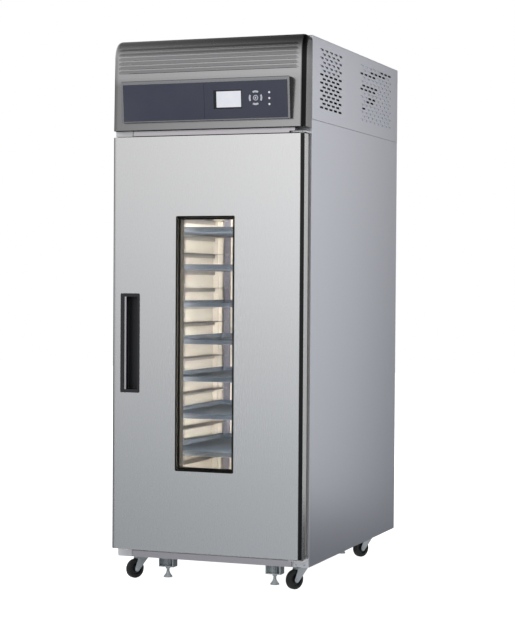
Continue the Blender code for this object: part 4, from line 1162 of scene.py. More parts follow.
class PROOFER_OT_casters(bpy.types.Operator):
    """Four swivel casters: pressed fork, ball race, axle with its nut, and tyred wheel"""

    bl_idname = "proofer.casters"
    bl_label = "Casters"

    def execute(self, context):
        stem = caster_stem("front", "left")
        hub = stem + Vector((0, -caster_trail, wheel_radius))
        resting = caster_turn("front", "left")
        pieces = [
            ("caster_tyre", "wheel", tyre_rubber(), "wheel_rubber", make_tyre(hub)),
            ("caster_rim", "wheel", hub_nylon(), "black_plastic", make_rim(hub)),
            ("caster_yoke", "fork", caster_zinc(), "zinc", make_yoke(hub, stem)),
            ("caster_axle", "fork", caster_zinc(), "zinc", make_axle(hub)),
        ]
        for name, part, material, slot, model in pieces:
            turn(model, resting, "Z", stem)
            for end, side in caster_places:
                shift = caster_stem(end, side) - stem
                copy = duplicate(model, f"{name}_{end}_{side}", shift)
                body = f"wheel_{end}_{side}" if part == "wheel" else f"caster_{end}_{side}"
                nodes = [f"caster_{part}_{end}_{side}"] if name in ("caster_tyre", "caster_yoke") else []
                done(copy, body, material, slot, *nodes)
            bpy.data.objects.remove(model)
        return {"FINISHED"}


def make_cone(centre, floor):
    """A turned cone on a rim, waisted towards the stem."""
    rim_radius = 17.6 * mm
    rim_height = 4 * mm
    base = rod("cone", (centre.x, centre.y, floor + rim_height / 2), rim_radius, rim_height, "Z", 48)
    edit(base)
    # Each step's height, and how much narrower it ends.
    for rise, share in ((4 * mm, 0.80), (5 * mm, 0.72), (6 * mm, 0.74), (4 * mm, 0.92)):
        pick("FACE", faces_up)
        bpy.ops.mesh.extrude_region_move(TRANSFORM_OT_translate={"value": (0, 0, rise)})
        bpy.ops.transform.resize(value=(share, share, 1), center_override=centre)
    leave()
    soften(base, 0.6 * mm, 3, 20)
    return base


def make_nut(centre):
    """The lock nut on the stem."""
    middle = 42.6 * mm
    radius = 9.4 * mm
    height = 7.8 * mm
    nut = rod("nut", (centre.x, centre.y, middle), radius, height, "Z", 6)
    soften(nut, 0.8 * mm, 3)
    return nut


def make_stem(centre, top):
    """The stem with its thread, drawn as close rings of the thread's pitch."""
    pitch = 1.75 * mm
    root_radius = 5.2 * mm
    crest_radius = 6 * mm
    low = 26 * mm
    crest = low + pitch / 2
    wider = crest_radius / root_radius
    ring = rod("ring", (centre.x, centre.y, crest), root_radius, pitch, "Z", 24)
    edit(ring)
    pick("EDGE", runs_up)
    bpy.ops.mesh.subdivide(number_cuts=1)
    pick("VERT", lambda place, normal: abs(place.z - crest) < touch / 10)
    bpy.ops.transform.resize(value=(wider, wider, 1), center_override=(centre.x, centre.y, low))
    pick("FACE", faces_down)
    bpy.ops.mesh.delete(type="FACE")
    leave()
    count = int((top - low) / pitch)
    repeat(ring, count, (0, 0, pitch))
    return ring


class PROOFER_OT_feet(bpy.types.Operator):
    """Four levelling feet: cone, threaded stem and lock nut"""

    bl_idname = "proofer.feet"
    bl_label = "Levelling feet"

    def execute(self, context):
        model_low, model_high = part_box("levelling_foot_front_left")
        centre = (model_low + model_high) / 2
        foot = make_cone(centre, model_low.z)
        nut = make_nut(centre)
        stem = make_stem(centre, model_high.z)
        for end, side in caster_places:
            node = f"levelling_foot_{end}_{side}"
            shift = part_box(node)[0] - model_low
            body = f"foot_{end}_{side}"
            done(duplicate(foot, f"foot_cone_{end}_{side}", shift), body, caster_zinc(), "zinc", node)
            done(duplicate(nut, f"foot_nut_{end}_{side}", shift), body, caster_zinc(), "zinc")
            done(duplicate(stem, f"foot_stem_{end}_{side}", shift), body, caster_zinc(), "zinc", angle=25)
        for model in (foot, nut, stem):
            bpy.data.objects.remove(model)
        return {"FINISHED"}


# Door

def window_hole(near, far):
    """A cutter for the window's opening between two depths, a little larger than the window's frame."""
    gap = 0.3 * mm
    hole = block(
        "hole", (window_low.x - gap, near - overrun, window_low.z - gap),
        (window_high.x + gap, far + overrun, window_high.z + gap),
    )
    round_edges(hole, runs_through, window_corner, 5)
    return hole


def make_shell():
    """The brushed outer skin: upright edges rounded wide, and openings for the window and the grip."""
    edge_radius = 16 * mm
    lip = 3.9 * mm
    gap = 0.3 * mm
    front = door_low.y
    shell = block("door_skin", door_low, door_high)
    round_edges(
        shell, lambda middle, run: runs_up(middle, run) and middle.y < front + touch, edge_radius, 10
    )

    def upper_or_lower(middle, run):
        outer = middle.z > door_high.z - touch or middle.z < door_low.z + touch
        return outer and middle.y < door_high.y - touch and not runs_up(middle, run)

    round_edges(shell, upper_or_lower, 1.0 * mm, 2)
    cut(shell, window_hole(front, door_high.y))
    cup_low, cup_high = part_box("handle_cup")
    cut(shell, block(
        "pocket", (cup_low.x + lip, front - overrun, cup_low.z + lip),
        (cup_high.x - lip, cup_high.y + gap, cup_high.z - lip),
    ))
    done(shell, "door", door_steel(), "stainless", "door_shell")


def make_liner():
    """The inner panel, its field pressed in behind the seal's seat."""
    seat = 48 * mm
    slope = 8 * mm
    pressed = 4 * mm
    liner = block("door_inner_panel", liner_low, liner_high)
    edit(liner)
    pick("FACE", faces_back)
    bpy.ops.mesh.inset(thickness=seat)
    bpy.ops.mesh.inset(thickness=slope)
    bpy.ops.transform.translate(value=(0, -pressed, 0))
    leave()
    soften(liner, 2.0 * mm, 3, 15)
    cut(liner, window_hole(liner_low.y, liner_high.y))
    done(liner, "door", liner_enamel(), "liner", "door_liner")


def make_gasket():
    """A dart foot, two bellows and a magnetic bar, as rings of one extrusion."""
    low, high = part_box("door_gasket")
    depth = high.y - low.y
    width = 18 * mm
    inner_corner = 6 * mm
    # Where each ring starts and ends in the seal's depth, and how much narrower it is on both sides.
    rings = ((0.0, 0.30, 3.2 * mm), (0.30, 0.52, 5.0 * mm), (0.52, 0.74, 2.4 * mm), (0.74, 1.0, 0.0))
    layers = []
    for start, end, less in rings:
        near = low.y + depth * start
        far = low.y + depth * end
        layer = block("layer", (low.x + less, near, low.z + less), (high.x - less, far, high.z - less))
        round_edges(layer, runs_through, width - less, 6)
        wide = width - less
        hole = block(
            "hole", (low.x + wide, near - overrun, low.z + wide),
            (high.x - wide, far + overrun, high.z - wide),
        )
        round_edges(hole, runs_through, inner_corner, 5)
        cut(layer, hole)
        layers.append(layer)
    seal = layers[0]
    for layer in layers[1:]:
        weld(seal, layer)
    soften(seal, 1.0 * mm, 3, 50)
    done(seal, "door", seal_rubber(), "seal_rubber", "door_gasket")


class PROOFER_OT_door(bpy.types.Operator):
    """The door: brushed shell, pale liner with its pressed panel, and magnetic gasket"""

    bl_idname = "proofer.door"
    bl_label = "Door"

    def execute(self, context):
        make_shell()
        make_liner()
        make_gasket()
        return {"FINISHED"}


def make_surround():
    """The black frame round the glass."""
    wall = 5 * mm
    ring = block("window_surround", window_low, window_high)
    round_edges(ring, runs_through, window_corner, 5)
    hole = block(
        "hole", (window_low.x + wall, window_low.y - overrun, window_low.z + wall),
        (window_high.x - wall, window_high.y + overrun, window_high.z - wall),
    )
    round_edges(hole, runs_through, 2.5 * mm, 4)
    cut(ring, hole)
    soften(ring, 0.7 * mm, 3, 50)
    done(ring, "door", black_seal(), "black_plastic", "window_frame")


def make_glazing():
    """Two panes, and the spacer between them."""
    thickness = 5 * mm
    gap = 0.3 * mm
    spacer_in = 1 * mm
    wall = 8 * mm
    for name, near in (("outer", glass_low.y), ("inner", glass_high.y - thickness)):
        far = near + thickness
        pane = block(f"{name}_pane", (glass_low.x, near, glass_low.z), (glass_high.x, far, glass_high.z))
        soften(pane, 0.6 * mm, 2)
        nodes = ["glass_unit"] if name == "outer" else []
        done(pane, "door", pane_glass(), "glass", *nodes)
    inset = Vector((spacer_in, thickness + gap, spacer_in))
    spacer = block("pane_spacer", glass_low + inset, glass_high - inset)
    hole = block(
        "hole", (glass_low.x + wall, glass_low.y - overrun, glass_low.z + wall),
        (glass_high.x - wall, glass_high.y + overrun, glass_high.z - wall),
    )
    cut(spacer, hole)
    soften(spacer, 0.8 * mm, 2)
    done(spacer, "door", black_seal(), "black_plastic")


class PROOFER_OT_window(bpy.types.Operator):
    """The window: black frame, two panes and the spacer between them"""

    bl_idname = "proofer.window"
    bl_label = "Window"

    def execute(self, context):
        make_surround()
        make_glazing()
        return {"FINISHED"}


def make_grip():
    """The cup with its border, which lies on the door's skin, its mouth, and the lip in it."""
    low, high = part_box("handle_cup")
    lip = 4.4 * mm
    lip_depth = 2 * mm
    corner = 4 * mm
    border = 12.5 * mm
    near_border = 15 * mm
    far_border = 8 * mm
    floor = 2.5 * mm
    cup = block("grip_surround", low, high)
    edit(cup)
    pick("FACE", faces_back)
    bpy.ops.mesh.inset(thickness=4.3 * mm)
    leave()
    round_edges(cup, runs_through, corner, 5)
    # Behind the lip that lies on the door's skin, the cup is narrower.
    outside = Vector((1, 1, 1)) * overrun
    around = block("around", (low.x - overrun, low.y + lip_depth, low.z - overrun), high + outside)
    core = block(
        "core", (low.x + lip, low.y, low.z + lip), (high.x - lip, high.y + 2 * overrun, high.z - lip)
    )
    round_edges(core, runs_through, corner, 5)
    cut(around, core)
    cut(cup, around)
    mouth = block(
        "mouth", (low.x + near_border, low.y - overrun, low.z + border),
        (high.x - far_border, high.y - floor, high.z - border),
    )
    round_edges(mouth, runs_through, corner, 5)
    round_edges(mouth, lambda middle, run: middle.y > high.y - floor - touch, 8 * mm, 5)
    cut(cup, mouth)
    soften(cup, 0.8 * mm, 3, 50)
    done(cup, "door", black_abs(), "black_plastic", "handle_cup")
    grip_start = low.x + near_border + 0.8 * mm
    grip_end = low.x + near_border + 9.0 * mm
    grip_front = low.y + 1.0 * mm
    grip_past = 0.5 * mm
    grip = block(
        "grip_lip", (grip_start, grip_front, low.z + border - grip_past),
        (grip_end, low.y + 11.5 * mm, high.z - border + grip_past),
    )
    round_edges(
        grip, lambda middle, run: runs_up(middle, run) and middle.y < grip_front + touch, 1.2 * mm, 4
    )
    done(grip, "door", sill_steel(), "stainless")


class PROOFER_OT_handle(bpy.types.Operator):
    """The recessed grip: black surround, deep cup and a steel lip to pull on"""

    bl_idname = "proofer.handle"
    bl_label = "Handle"

    def execute(self, context):
        make_grip()
        return {"FINISHED"}


# Fascia and controls

def hood_face(height):
    """Where the fascia's face is at a height, and its outward direction, in the YZ plane."""
    bend_start = hood_high.z - hood_bend_height
    straight = bend_start - hood_low.z
    if height <= bend_start:
        share = (height - hood_low.z) / straight
        run = Vector((hood_lean, straight)).normalized()
        return Vector((hood_low.y + hood_lean * share, height)), Vector((-run.y, run.x))
    angle = math.asin(min(1.0, (height - bend_start) / hood_bend_height))
    edge = hood_low.y + hood_lean + hood_bend_depth
    out = Vector((-math.cos(angle) / hood_bend_depth, math.sin(angle) / hood_bend_height))
    return Vector((edge - hood_bend_depth * math.cos(angle), height)), out.normalized()


def make_hood():
    """A leaning face and an elliptic bend over it, drawn as a round one in a stretched block."""
    front = hood_low.y + hood_lean
    side = half_width - hood_gap
    hood = block("fascia_hood", (-side, front, hood_low.z), (side, hood_high.y, hood_high.z))
    stretch = hood_bend_height / hood_bend_depth
    back = Vector((0, hood_high.y, 0))
    edit(hood)
    bpy.ops.mesh.select_all(action="SELECT")
    bpy.ops.transform.resize(value=(1, stretch, 1), center_override=back)
    stretched_front = hood_high.y - (hood_high.y - front) * stretch
    pick(
        "EDGE",
        lambda middle, run: runs_across(middle, run) and middle.z > hood_high.z - touch
        and middle.y < stretched_front + touch,
    )
    bpy.ops.mesh.bevel(offset=hood_bend_height, segments=14, affect="EDGES")
    bpy.ops.mesh.select_all(action="SELECT")
    bpy.ops.transform.resize(value=(1, 1 / stretch, 1), center_override=back)
    pick("VERT", lambda place, normal: place.z < hood_low.z + touch and place.y < front + touch)
    bpy.ops.transform.translate(value=(0, -hood_lean, 0))
    leave()

    def side_outline(middle, run):
        """The whole front outline of each side: up the face, round the bend and back along the top."""
        outline = middle.y < hood_high.y - touch and middle.z > hood_low.z + touch
        return outline and abs(middle.x) > side - touch and not runs_across(middle, run)

    round_edges(hood, side_outline, hood_corner, 8, clamp=False)
    edit(hood)
    pick("FACE", lambda middle, normal: faces_back(middle, normal) and middle.y > hood_high.y - touch)
    bpy.ops.mesh.delete(type="FACE")
    leave()
    use_modifier(hood, "SOLIDIFY", thickness=sheet, offset=-1, use_even_offset=False)
    soften(hood, 0.5 * mm, 2, 50)
    return hood


def make_louvre(height):
    """A pressed step: a slope that faces up over a short steep foot, its ends run out into the face."""
    sunk = 1 * mm
    nose_radius = 1.6 * mm
    # What is left of the ends' depth and height.
    depth_share = 0.05
    height_share = 0.7
    point, outward = hood_face(height)
    half = louvre_height / 2
    reach = hood_high.x - louvre_end_margin
    ridge = block("louvre", (-reach, -louvre_nose, -half), (reach, sunk, half))
    edit(ridge)
    pick("VERT", lambda place, normal: place.y < 0 and place.z > 0)
    bpy.ops.transform.translate(value=(0, louvre_nose, 0))
    pick("VERT", lambda place, normal: place.y < -touch and place.z < 0)
    bpy.ops.transform.translate(value=(0, 0, louvre_foot))
    leave()
    round_edges(
        ridge, lambda middle, run: runs_across(middle, run) and middle.y < -touch, nose_radius, 5
    )
    for side in (-1, 1):
        edit(ridge)
        bpy.ops.mesh.select_all(action="SELECT")
        bpy.ops.mesh.bisect(plane_co=(side * (reach - louvre_taper), 0, 0), plane_no=(1, 0, 0))
        pick("VERT", lambda place, normal: place.x * side > reach - touch)
        bpy.ops.transform.resize(value=(1, depth_share, height_share), center_override=(0, sunk, 0))
        leave()
    ridge.rotation_euler = (-math.atan2(outward.y, -outward.x), 0, 0)
    ridge.location = (0, point.x, point.y)
    apply_place(ridge)
    return ridge


class PROOFER_OT_fascia(bpy.types.Operator):
    """The pressed hood over the door, with its louvres"""

    bl_idname = "proofer.fascia"
    bl_label = "Fascia"

    def execute(self, context):
        ridges = [make_louvre(louvre_first + i * louvre_pitch) for i in range(settings().louvre_count)]
        hood = join([make_hood(), *ridges])
        done(hood, "cabinet", hood_steel(), "fascia_steel", "fascia")
        return {"FINISHED"}


def on_panel(piece):
    """Moves a piece drawn in the panel's own frame to its place on the leaning panel."""
    leaning = Matrix.Translation(panel_centre) @ Matrix.Rotation(panel_lean, 4, "X")
    piece.matrix_world = leaning @ piece.matrix_world
    apply_place(piece)
    return piece


def arc_bar(name, inner, outer, near, far, half_angle, steps=14):
    """A bar bent round the pad's middle, its own middle at the top."""
    deselect()
    bpy.ops.mesh.primitive_plane_add(size=1, location=((inner + outer) / 2, (near + far) / 2, 0))
    piece = bpy.context.object
    piece.name = name
    piece.scale = (outer - inner, far - near, 1)
    apply_place(piece)
    edit(piece)
    bpy.ops.mesh.select_all(action="SELECT")
    bpy.ops.mesh.spin(steps=steps, angle=2 * half_angle, center=(0, 0, 0), axis=(0, 1, 0))
    leave()
    mend(piece)
    # The bar is turned so that its middle comes to the top.
    middle = sum((vert.co for vert in piece.data.vertices), Vector())
    piece.rotation_euler = (0, -math.atan2(middle.x, middle.z), 0)
    apply_place(piece)
    return piece


def on_pad(piece, quarter):
    """Turns a bar by quarter turns round the key pad's middle and puts it there."""
    piece.rotation_euler = (0, quarter * math.pi / 2, 0)
    piece.location = (key_pad_x, 0, 0)
    apply_place(piece)
    return piece


def make_housing():
    """The leaning wedge, with a recess for the plates and a well behind the keys."""
    rim = 6 * mm
    bend = 4 * mm
    recess_depth = 1.9 * mm
    slack = 0.5 * mm
    side_slack = 0.6 * mm
    well_radius = 31.5 * mm
    well_depth = 3 * mm
    low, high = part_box("control_housing")
    # How far the foot of the housing's face stands back, for the height that the CAD's face has.
    slope = math.sin(panel_lean) * 166 * mm
    # The photograph's housing ends a little lower than the CAD's.
    high = high - Vector((0, 0, housing_drop))
    middle_depth = (low.y + high.y) / 2
    wedge = block("panel_housing", low, high)
    edit(wedge)
    pick("VERT", lambda place, normal: place.z < low.z + touch and place.y < low.y + touch)
    bpy.ops.transform.translate(value=(0, slope, 0))
    leave()
    round_edges(
        wedge, lambda middle, run: runs_through(middle, run) and middle.z > high.z - touch, rim, 7
    )
    round_edges(
        wedge, lambda middle, run: middle.y < middle_depth and not runs_through(middle, run), 1.6 * mm, 3
    )
    # The upper front edge is rounded more than the others.
    nose = block(
        "nose", (low.x - overrun, low.y - overrun, high.z - bend),
        (high.x + overrun, low.y + bend, high.z + overrun),
    )
    length = 2 * (high.x + 2 * overrun)
    cut(nose, rod("bend", (0, low.y + bend, high.z - bend), bend, length, "X", 48))
    cut(wedge, nose)
    reach = plate_half + side_slack
    recess = block(
        "recess", (-reach, -overrun, plate_low - slack), (reach, recess_depth, plate_high + slack)
    )
    cut(wedge, on_panel(recess))
    cut(wedge, on_panel(rod("well", (key_pad_x, 0, 0), well_radius, 2 * well_depth, "Y", 48)))
    soften(wedge, 0.4 * mm, 2, 50)
    done(wedge, "cabinet", housing_steel(), "fascia_steel", "control_housing")


def make_plates():
    """The blank plate, the control plate with its openings, and the three lamps in it."""
    near = -plate_half_thickness
    far = plate_half_thickness
    parting = 0.3 * mm
    display_half = 57.5 * mm
    display_low = -38 * mm
    display_high = 33 * mm
    arc_inner = 18.6 * mm
    arc_outer = 28.9 * mm
    arc_half_angle = math.radians(32.2)
    centre_radius = 10.9 * mm
    lens_radius = 4 * mm
    lens_height = 1.4 * mm
    lens_out = 0.1 * mm
    blank = block("blank_film", (-plate_half, near, plate_low), (-parting, far, plate_high))
    soften(blank, 0.5 * mm, 3)
    done(on_panel(blank), "cabinet", panel_film(), "slate_plastic", "blank_plate")
    plate = block("control_film", (parting, near, plate_low), (plate_half, far, plate_high))
    soften(plate, 0.5 * mm, 3)
    cut(plate, block(
        "hole", (display_x - display_half, -overrun, display_low),
        (display_x + display_half, overrun, display_high),
    ))
    for quarter in range(4):
        hole = arc_bar("hole", arc_inner, arc_outer, -overrun, overrun, arc_half_angle)
        cut(plate, on_pad(hole, quarter))
    cut(plate, rod("hole", (key_pad_x, 0, 0), centre_radius, 2 * overrun, "Y", 48))
    done(on_panel(plate), "cabinet", panel_film(), "slate_plastic", "control_plate")
    for i in (-1, 0, 1):
        place = (lamp_x, near - lens_out, i * lamp_pitch - lamp_drop)
        lens = rod(f"indicator_{i + 2}", place, lens_radius, lens_height, "Y", 32)
        round_edges(lens, lambda middle, run: middle.y < near - lens_height / 2, 0.6 * mm, 4)
        done(on_panel(lens), "cabinet", lamp_lens(), "diffuser")


def make_display():
    """A black bezel with a sunk screen, which isn't in the middle: the left border is the widest."""
    half = 57.2 * mm
    low = -37.7 * mm
    high = 32.7 * mm
    near = -plate_half_thickness + 0.2 * mm
    left = display_x - 46.5 * mm
    right = display_x + 53.5 * mm
    bottom = -32.5 * mm
    top = 28.3 * mm
    sunk = 1.0 * mm
    screen_near = near + 0.7 * mm
    screen_far = near + 1.2 * mm
    slack = 0.4 * mm
    far = plate_half_thickness
    bezel = block("display_bezel", (display_x - half, near, low), (display_x + half, far, high))
    cut(bezel, block("well", (left, near - overrun, bottom), (right, near + sunk, top)))
    soften(bezel, 0.4 * mm, 2)
    done(on_panel(bezel), "cabinet", gloss_black(), "black_plastic", "display")
    screen = block(
        "display_screen", (left + slack, screen_near, bottom + slack),
        (right - slack, screen_far, top - slack),
    )
    soften(screen, 0.2 * mm, 1)
    done(on_panel(screen), "cabinet", screen_light(), "diffuser")


def make_keys():
    """Four arc keys with pale marks, round a centre key with a ring in its groove."""
    near = -plate_half_thickness - 1.1 * mm
    far = plate_half_thickness
    cap_inner = 19.1 * mm
    cap_outer = 28.4 * mm
    cap_half_angle = math.radians(30.6)
    mark_inner = 19.8 * mm
    mark_outer = 27.2 * mm
    mark_half_angle = math.radians(28.2)
    mark_near = near - 0.35 * mm
    mark_far = near + 0.6 * mm
    centre_radius = 10.4 * mm
    groove_outer = 7.2 * mm
    groove_inner = 3.9 * mm
    groove_depth = 0.7 * mm
    ring_outer = 7.1 * mm
    ring_inner = 4.0 * mm
    ring_height = 0.7 * mm
    ring_middle = near + 0.3 * mm
    core_height = 4 * mm
    for quarter, name in enumerate(("up", "right", "down", "left")):
        key = on_pad(arc_bar(f"{name}_key_cap", cap_inner, cap_outer, near, far, cap_half_angle), quarter)
        soften(key, 0.6 * mm, 3, 50)
        done(on_panel(key), f"{name}_key", slate_rubber(), "key_plastic", f"key_{name}")
        mark = arc_bar(f"{name}_key_mark", mark_inner, mark_outer, mark_near, mark_far, mark_half_angle)
        mark = on_pad(mark, quarter)
        soften(mark, 0.3 * mm, 2, 50)
        done(on_panel(mark), f"{name}_key", key_rubber(), "key_plastic")
    cap = rod("centre_key_cap", (key_pad_x, (near + far) / 2, 0), centre_radius, far - near, "Y", 48)
    round_edges(cap, lambda middle, run: middle.y < near + touch / 5, 0.8 * mm, 4)
    groove = rod("groove", (key_pad_x, near, 0), groove_outer, 2 * groove_depth, "Y", 40)
    cut(groove, rod("core", (key_pad_x, near, 0), groove_inner, core_height, "Y", 40))
    cut(cap, groove)
    ring = rod("centre_key_ring", (key_pad_x, ring_middle, 0), ring_outer, ring_height, "Y", 40)
    cut(ring, rod("core", (key_pad_x, near, 0), ring_inner, core_height, "Y", 40))
    done(on_panel(ring), "centre_key", slate_rubber(), "key_plastic")
    done(on_panel(cap), "centre_key", key_rubber(), "key_plastic", "key_centre")


class PROOFER_OT_controls(bpy.types.Operator):
    """The control housing, its two plates, display, lamps and round key pad"""

    bl_idname = "proofer.controls"
    bl_label = "Control panel"

    def execute(self, context):
        make_housing()
        make_plates()
        make_display()
        make_keys()
        return {"FINISHED"}


# Machine compartment

def slot_cutters(side_x, row_step):
    """Rows of half-round-ended slots, every second row half a pitch along and left out at a row step of 2."""
    length = settings().slot_length
    groups = []
    for start, count in ((front_slots, front_slot_count), (rear_slots, rear_slot_count)):
        for odd in range(2 // row_step):
            centre = (side_x, start + odd * slot_pitch / 2, slot_first + odd * slot_row_pitch)
            slot = obround("slot", centre, length, slot_height, overrun, "X")
            repeat(slot, count - odd, (0, slot_pitch, 0))
            repeat(slot, even_slot_rows - odd, (0, 0, 2 * slot_row_pitch))
            groups.append(slot)
    return join(groups)


def make_filters():
    """Dust mats of black foam behind the slots of the left and the rear panel."""
    thickness = 8 * mm
    gap = 3 * mm
    margin = 40 * mm
    front_margin = 70 * mm
    low = slot_first - 24 * mm
    high = slot_first + top_slot_row * slot_row_pitch + 20 * mm
    near = -half_width + sheet + gap
    left = block(
        "vent_filter_left", (near, body_front + front_margin, low),
        (near + thickness, body_back - margin, high),
    )
    far = body_back - sheet - gap
    rear = block(
        "vent_filter_rear", (-half_width + margin, far - thickness, low),
        (half_width - margin, far, high),
    )
    for mat in (left, rear):
        soften(mat, 2 * mm, 3)
        done(mat, "cabinet", filter_foam(), "seal_rubber")


def make_baffle():
    """A sheet close behind the rear slots of the right side, open where air goes to the condenser."""
    far = half_width - sheet - 0.3 * mm
    near = far - 1.6 * mm
    side_margin = 30 * mm
    margin = 12 * mm
    hole_half = 7 * mm
    before = 24 * mm
    after = 34 * mm
    last = rear_slots + (rear_slot_count - 1) * slot_pitch
    top = slot_first + top_slot_row * slot_row_pitch
    plate = block(
        "vent_baffle", (near, rear_slots - side_margin, slot_first - margin),
        (far, last + side_margin, top + margin),
    )
    # Rows counted from the lowest one, slots from the front.
    openings = ((14, 5, 7), (13, 2, 5), (12, 0, 3), (9, 0, 3), (8, 0, 3), (6, 2, 3), (5, 1, 2), (3, 0, 0))
    for row, start, end in openings:
        first = rear_slots + (slot_pitch / 2 if row % 2 else 0)
        z = slot_first + row * slot_row_pitch
        cut(plate, block(
            "hole", (near - overrun, first + start * slot_pitch - before, z - hole_half),
            (far + overrun, first + end * slot_pitch + after, z + hole_half),
        ))
    done(plate, "cabinet", side_steel(), "stainless")


def make_shield():
    """A sheet behind the upper rows of the front slots, which look paler than the lower ones."""
    far = half_width - sheet - 3.2 * mm
    thickness = 1.2 * mm
    margin = 34 * mm
    last = front_slots + (front_slot_count - 1) * slot_pitch
    # The rows that its lower and upper edges lie between.
    low_row = 8.5
    high_row = 14.6
    plate = block(
        "vent_shield", (far - thickness, front_slots - margin, slot_first + low_row * slot_row_pitch),
        (far, last + margin, slot_first + high_row * slot_row_pitch),
    )
    soften(plate, 0.3 * mm, 2)
    done(plate, "cabinet", side_steel(), "stainless")


def make_control_box():
    """The box of switchgear behind the front slots, with its lid."""
    lid_height = 5.6 * mm
    parting = 0.4 * mm
    lid_in = 3 * mm
    low = Vector((150 * mm, body_front + 40 * mm, cover_low.z - 306 * mm))
    high = Vector((half_width - 26 * mm, body_front + 440 * mm, cover_low.z - 14 * mm))
    body = block("control_box", low, (high.x - lid_height - parting, high.y, high.z))
    soften(body, 3 * mm, 3)
    done(body, "cabinet", box_coating(), "black_enamel")
    lid = block(
        "control_box_lid", (high.x - lid_height, low.y + lid_in, low.z + lid_in),
        (high.x, high.y - lid_in, high.z - lid_in),
    )
    soften(lid, 1.5 * mm, 3)
    done(lid, "cabinet", box_coating(), "black_enamel")


def make_side_sheet(side, sign, row_step):
    """A slotted side sheet with its front edge folded inwards."""
    low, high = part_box(f"vent_panel_{side}")
    outer = half_width * sign
    start, end = sorted((outer, outer - sign * sheet))
    wall = block("wall", (start, low.y, low.z), (end, high.y, high.z))
    lip = block("lip", low, (high.x, low.y + sheet, high.z))
    weld(wall, lip)
    wall.name = f"vent_sheet_{side}"
    soften(wall, 0.8 * mm, 2)
    cut(wall, slot_cutters(outer, row_step))
    done(wall, "cabinet", side_steel(), "stainless", f"vent_panel_{side}")


def make_rear_sheet():
    """The slotted sheet at the back, with its six screws."""
    columns = 5
    rows = 6
    row_pitch = 30 * mm
    slot_length = 110 * mm
    screw_in = 12 * mm
    screw_up = 14 * mm
    low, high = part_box("rear_vent_panel")
    panel = block("rear_sheet", low, high)
    spread = (high.x - low.x) / columns
    lowest = (low.z + high.z) / 2 - (rows - 1) / 2 * row_pitch
    centre = (low.x + spread / 2, (low.y + high.y) / 2, lowest)
    slot = obround("slot", centre, slot_length, slot_height, overrun, "Y")
    repeat(slot, columns, (spread, 0, 0))
    repeat(slot, rows, (0, 0, row_pitch))
    cut(panel, slot)
    done(panel, "cabinet", side_steel(), "stainless", "rear_vent_panel")
    across = (low.x + screw_in, 0, high.x - screw_in)
    up = (low.z + screw_up, high.z - screw_up)
    for i, place in enumerate((x, high.y - screw_head_out, z) for x in across for z in up):
        done(pan_screw(f"rear_screw_{i + 1}", place, "Y", 1), "cabinet", zinc(), "zinc")


class PROOFER_OT_vents(bpy.types.Operator):
    """The slotted sheets round the machine compartment, and what shows behind their slots"""

    bl_idname = "proofer.vents"
    bl_label = "Vent panels"

    def execute(self, context):
        for side, sign, row_step in (("left", -1, 2), ("right", 1, 1)):
            make_side_sheet(side, sign, row_step)
        make_rear_sheet()
        make_baffle()
        make_shield()
        make_filters()
        make_control_box()
        return {"FINISHED"}


def make_compressor():
    """A domed can with its weld band, its foot plate and the terminal box on its front."""
    can_foot = 12 * mm
    can_height = 158 * mm
    radius = 75 * mm
    dome = 34 * mm
    heel = 14 * mm
    band_middle = 84 * mm
    band_out = 2.6 * mm
    band_height = 9 * mm
    plate_height = 4 * mm
    leg_radius = 60 * mm
    leg_middle = 9 * mm
    leg_height = 12 * mm
    box_size = Vector((60 * mm, 20 * mm, 55 * mm))
    low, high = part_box("compressor")
    centre = (low + high) / 2
    middle_z = low.z + can_foot + can_height / 2
    can = rod("compressor_can", (centre.x, centre.y, middle_z), radius, can_height, "Z", 64)
    edit(can)
    pick("EDGE", lambda middle, run: not runs_up(middle, run) and middle.z > middle_z)
    bpy.ops.mesh.bevel(offset=dome, segments=8, affect="EDGES")
    pick("EDGE", lambda middle, run: not runs_up(middle, run) and middle.z < low.z + can_foot + touch)
    bpy.ops.mesh.bevel(offset=heel, segments=5, affect="EDGES")
    leave()
    band = rod("band", (centre.x, centre.y, low.z + band_middle), radius + band_out, band_height, "Z", 64)
    soften(band, 2 * mm, 3)
    weld(can, band)
    done(can, "cabinet", black_enamel(), "black_enamel", "compressor")
    plate = block("compressor_foot", low, (high.x, high.y, low.z + plate_height))
    round_edges(plate, runs_up, 14 * mm, 5)
    leg = rod("leg", (centre.x, centre.y, low.z + leg_middle), leg_radius, leg_height, "Z", 48)
    weld(plate, leg)
    done(plate, "cabinet", zinc(), "zinc")
    box_low = Vector((centre.x - box_size.x / 2, low.y + 2 * mm, low.z + 70 * mm))
    cover = block("compressor_terminal_box", box_low, box_low + box_size)
    soften(cover, 3 * mm, 3)
    done(cover, "cabinet", black_abs(), "black_plastic")


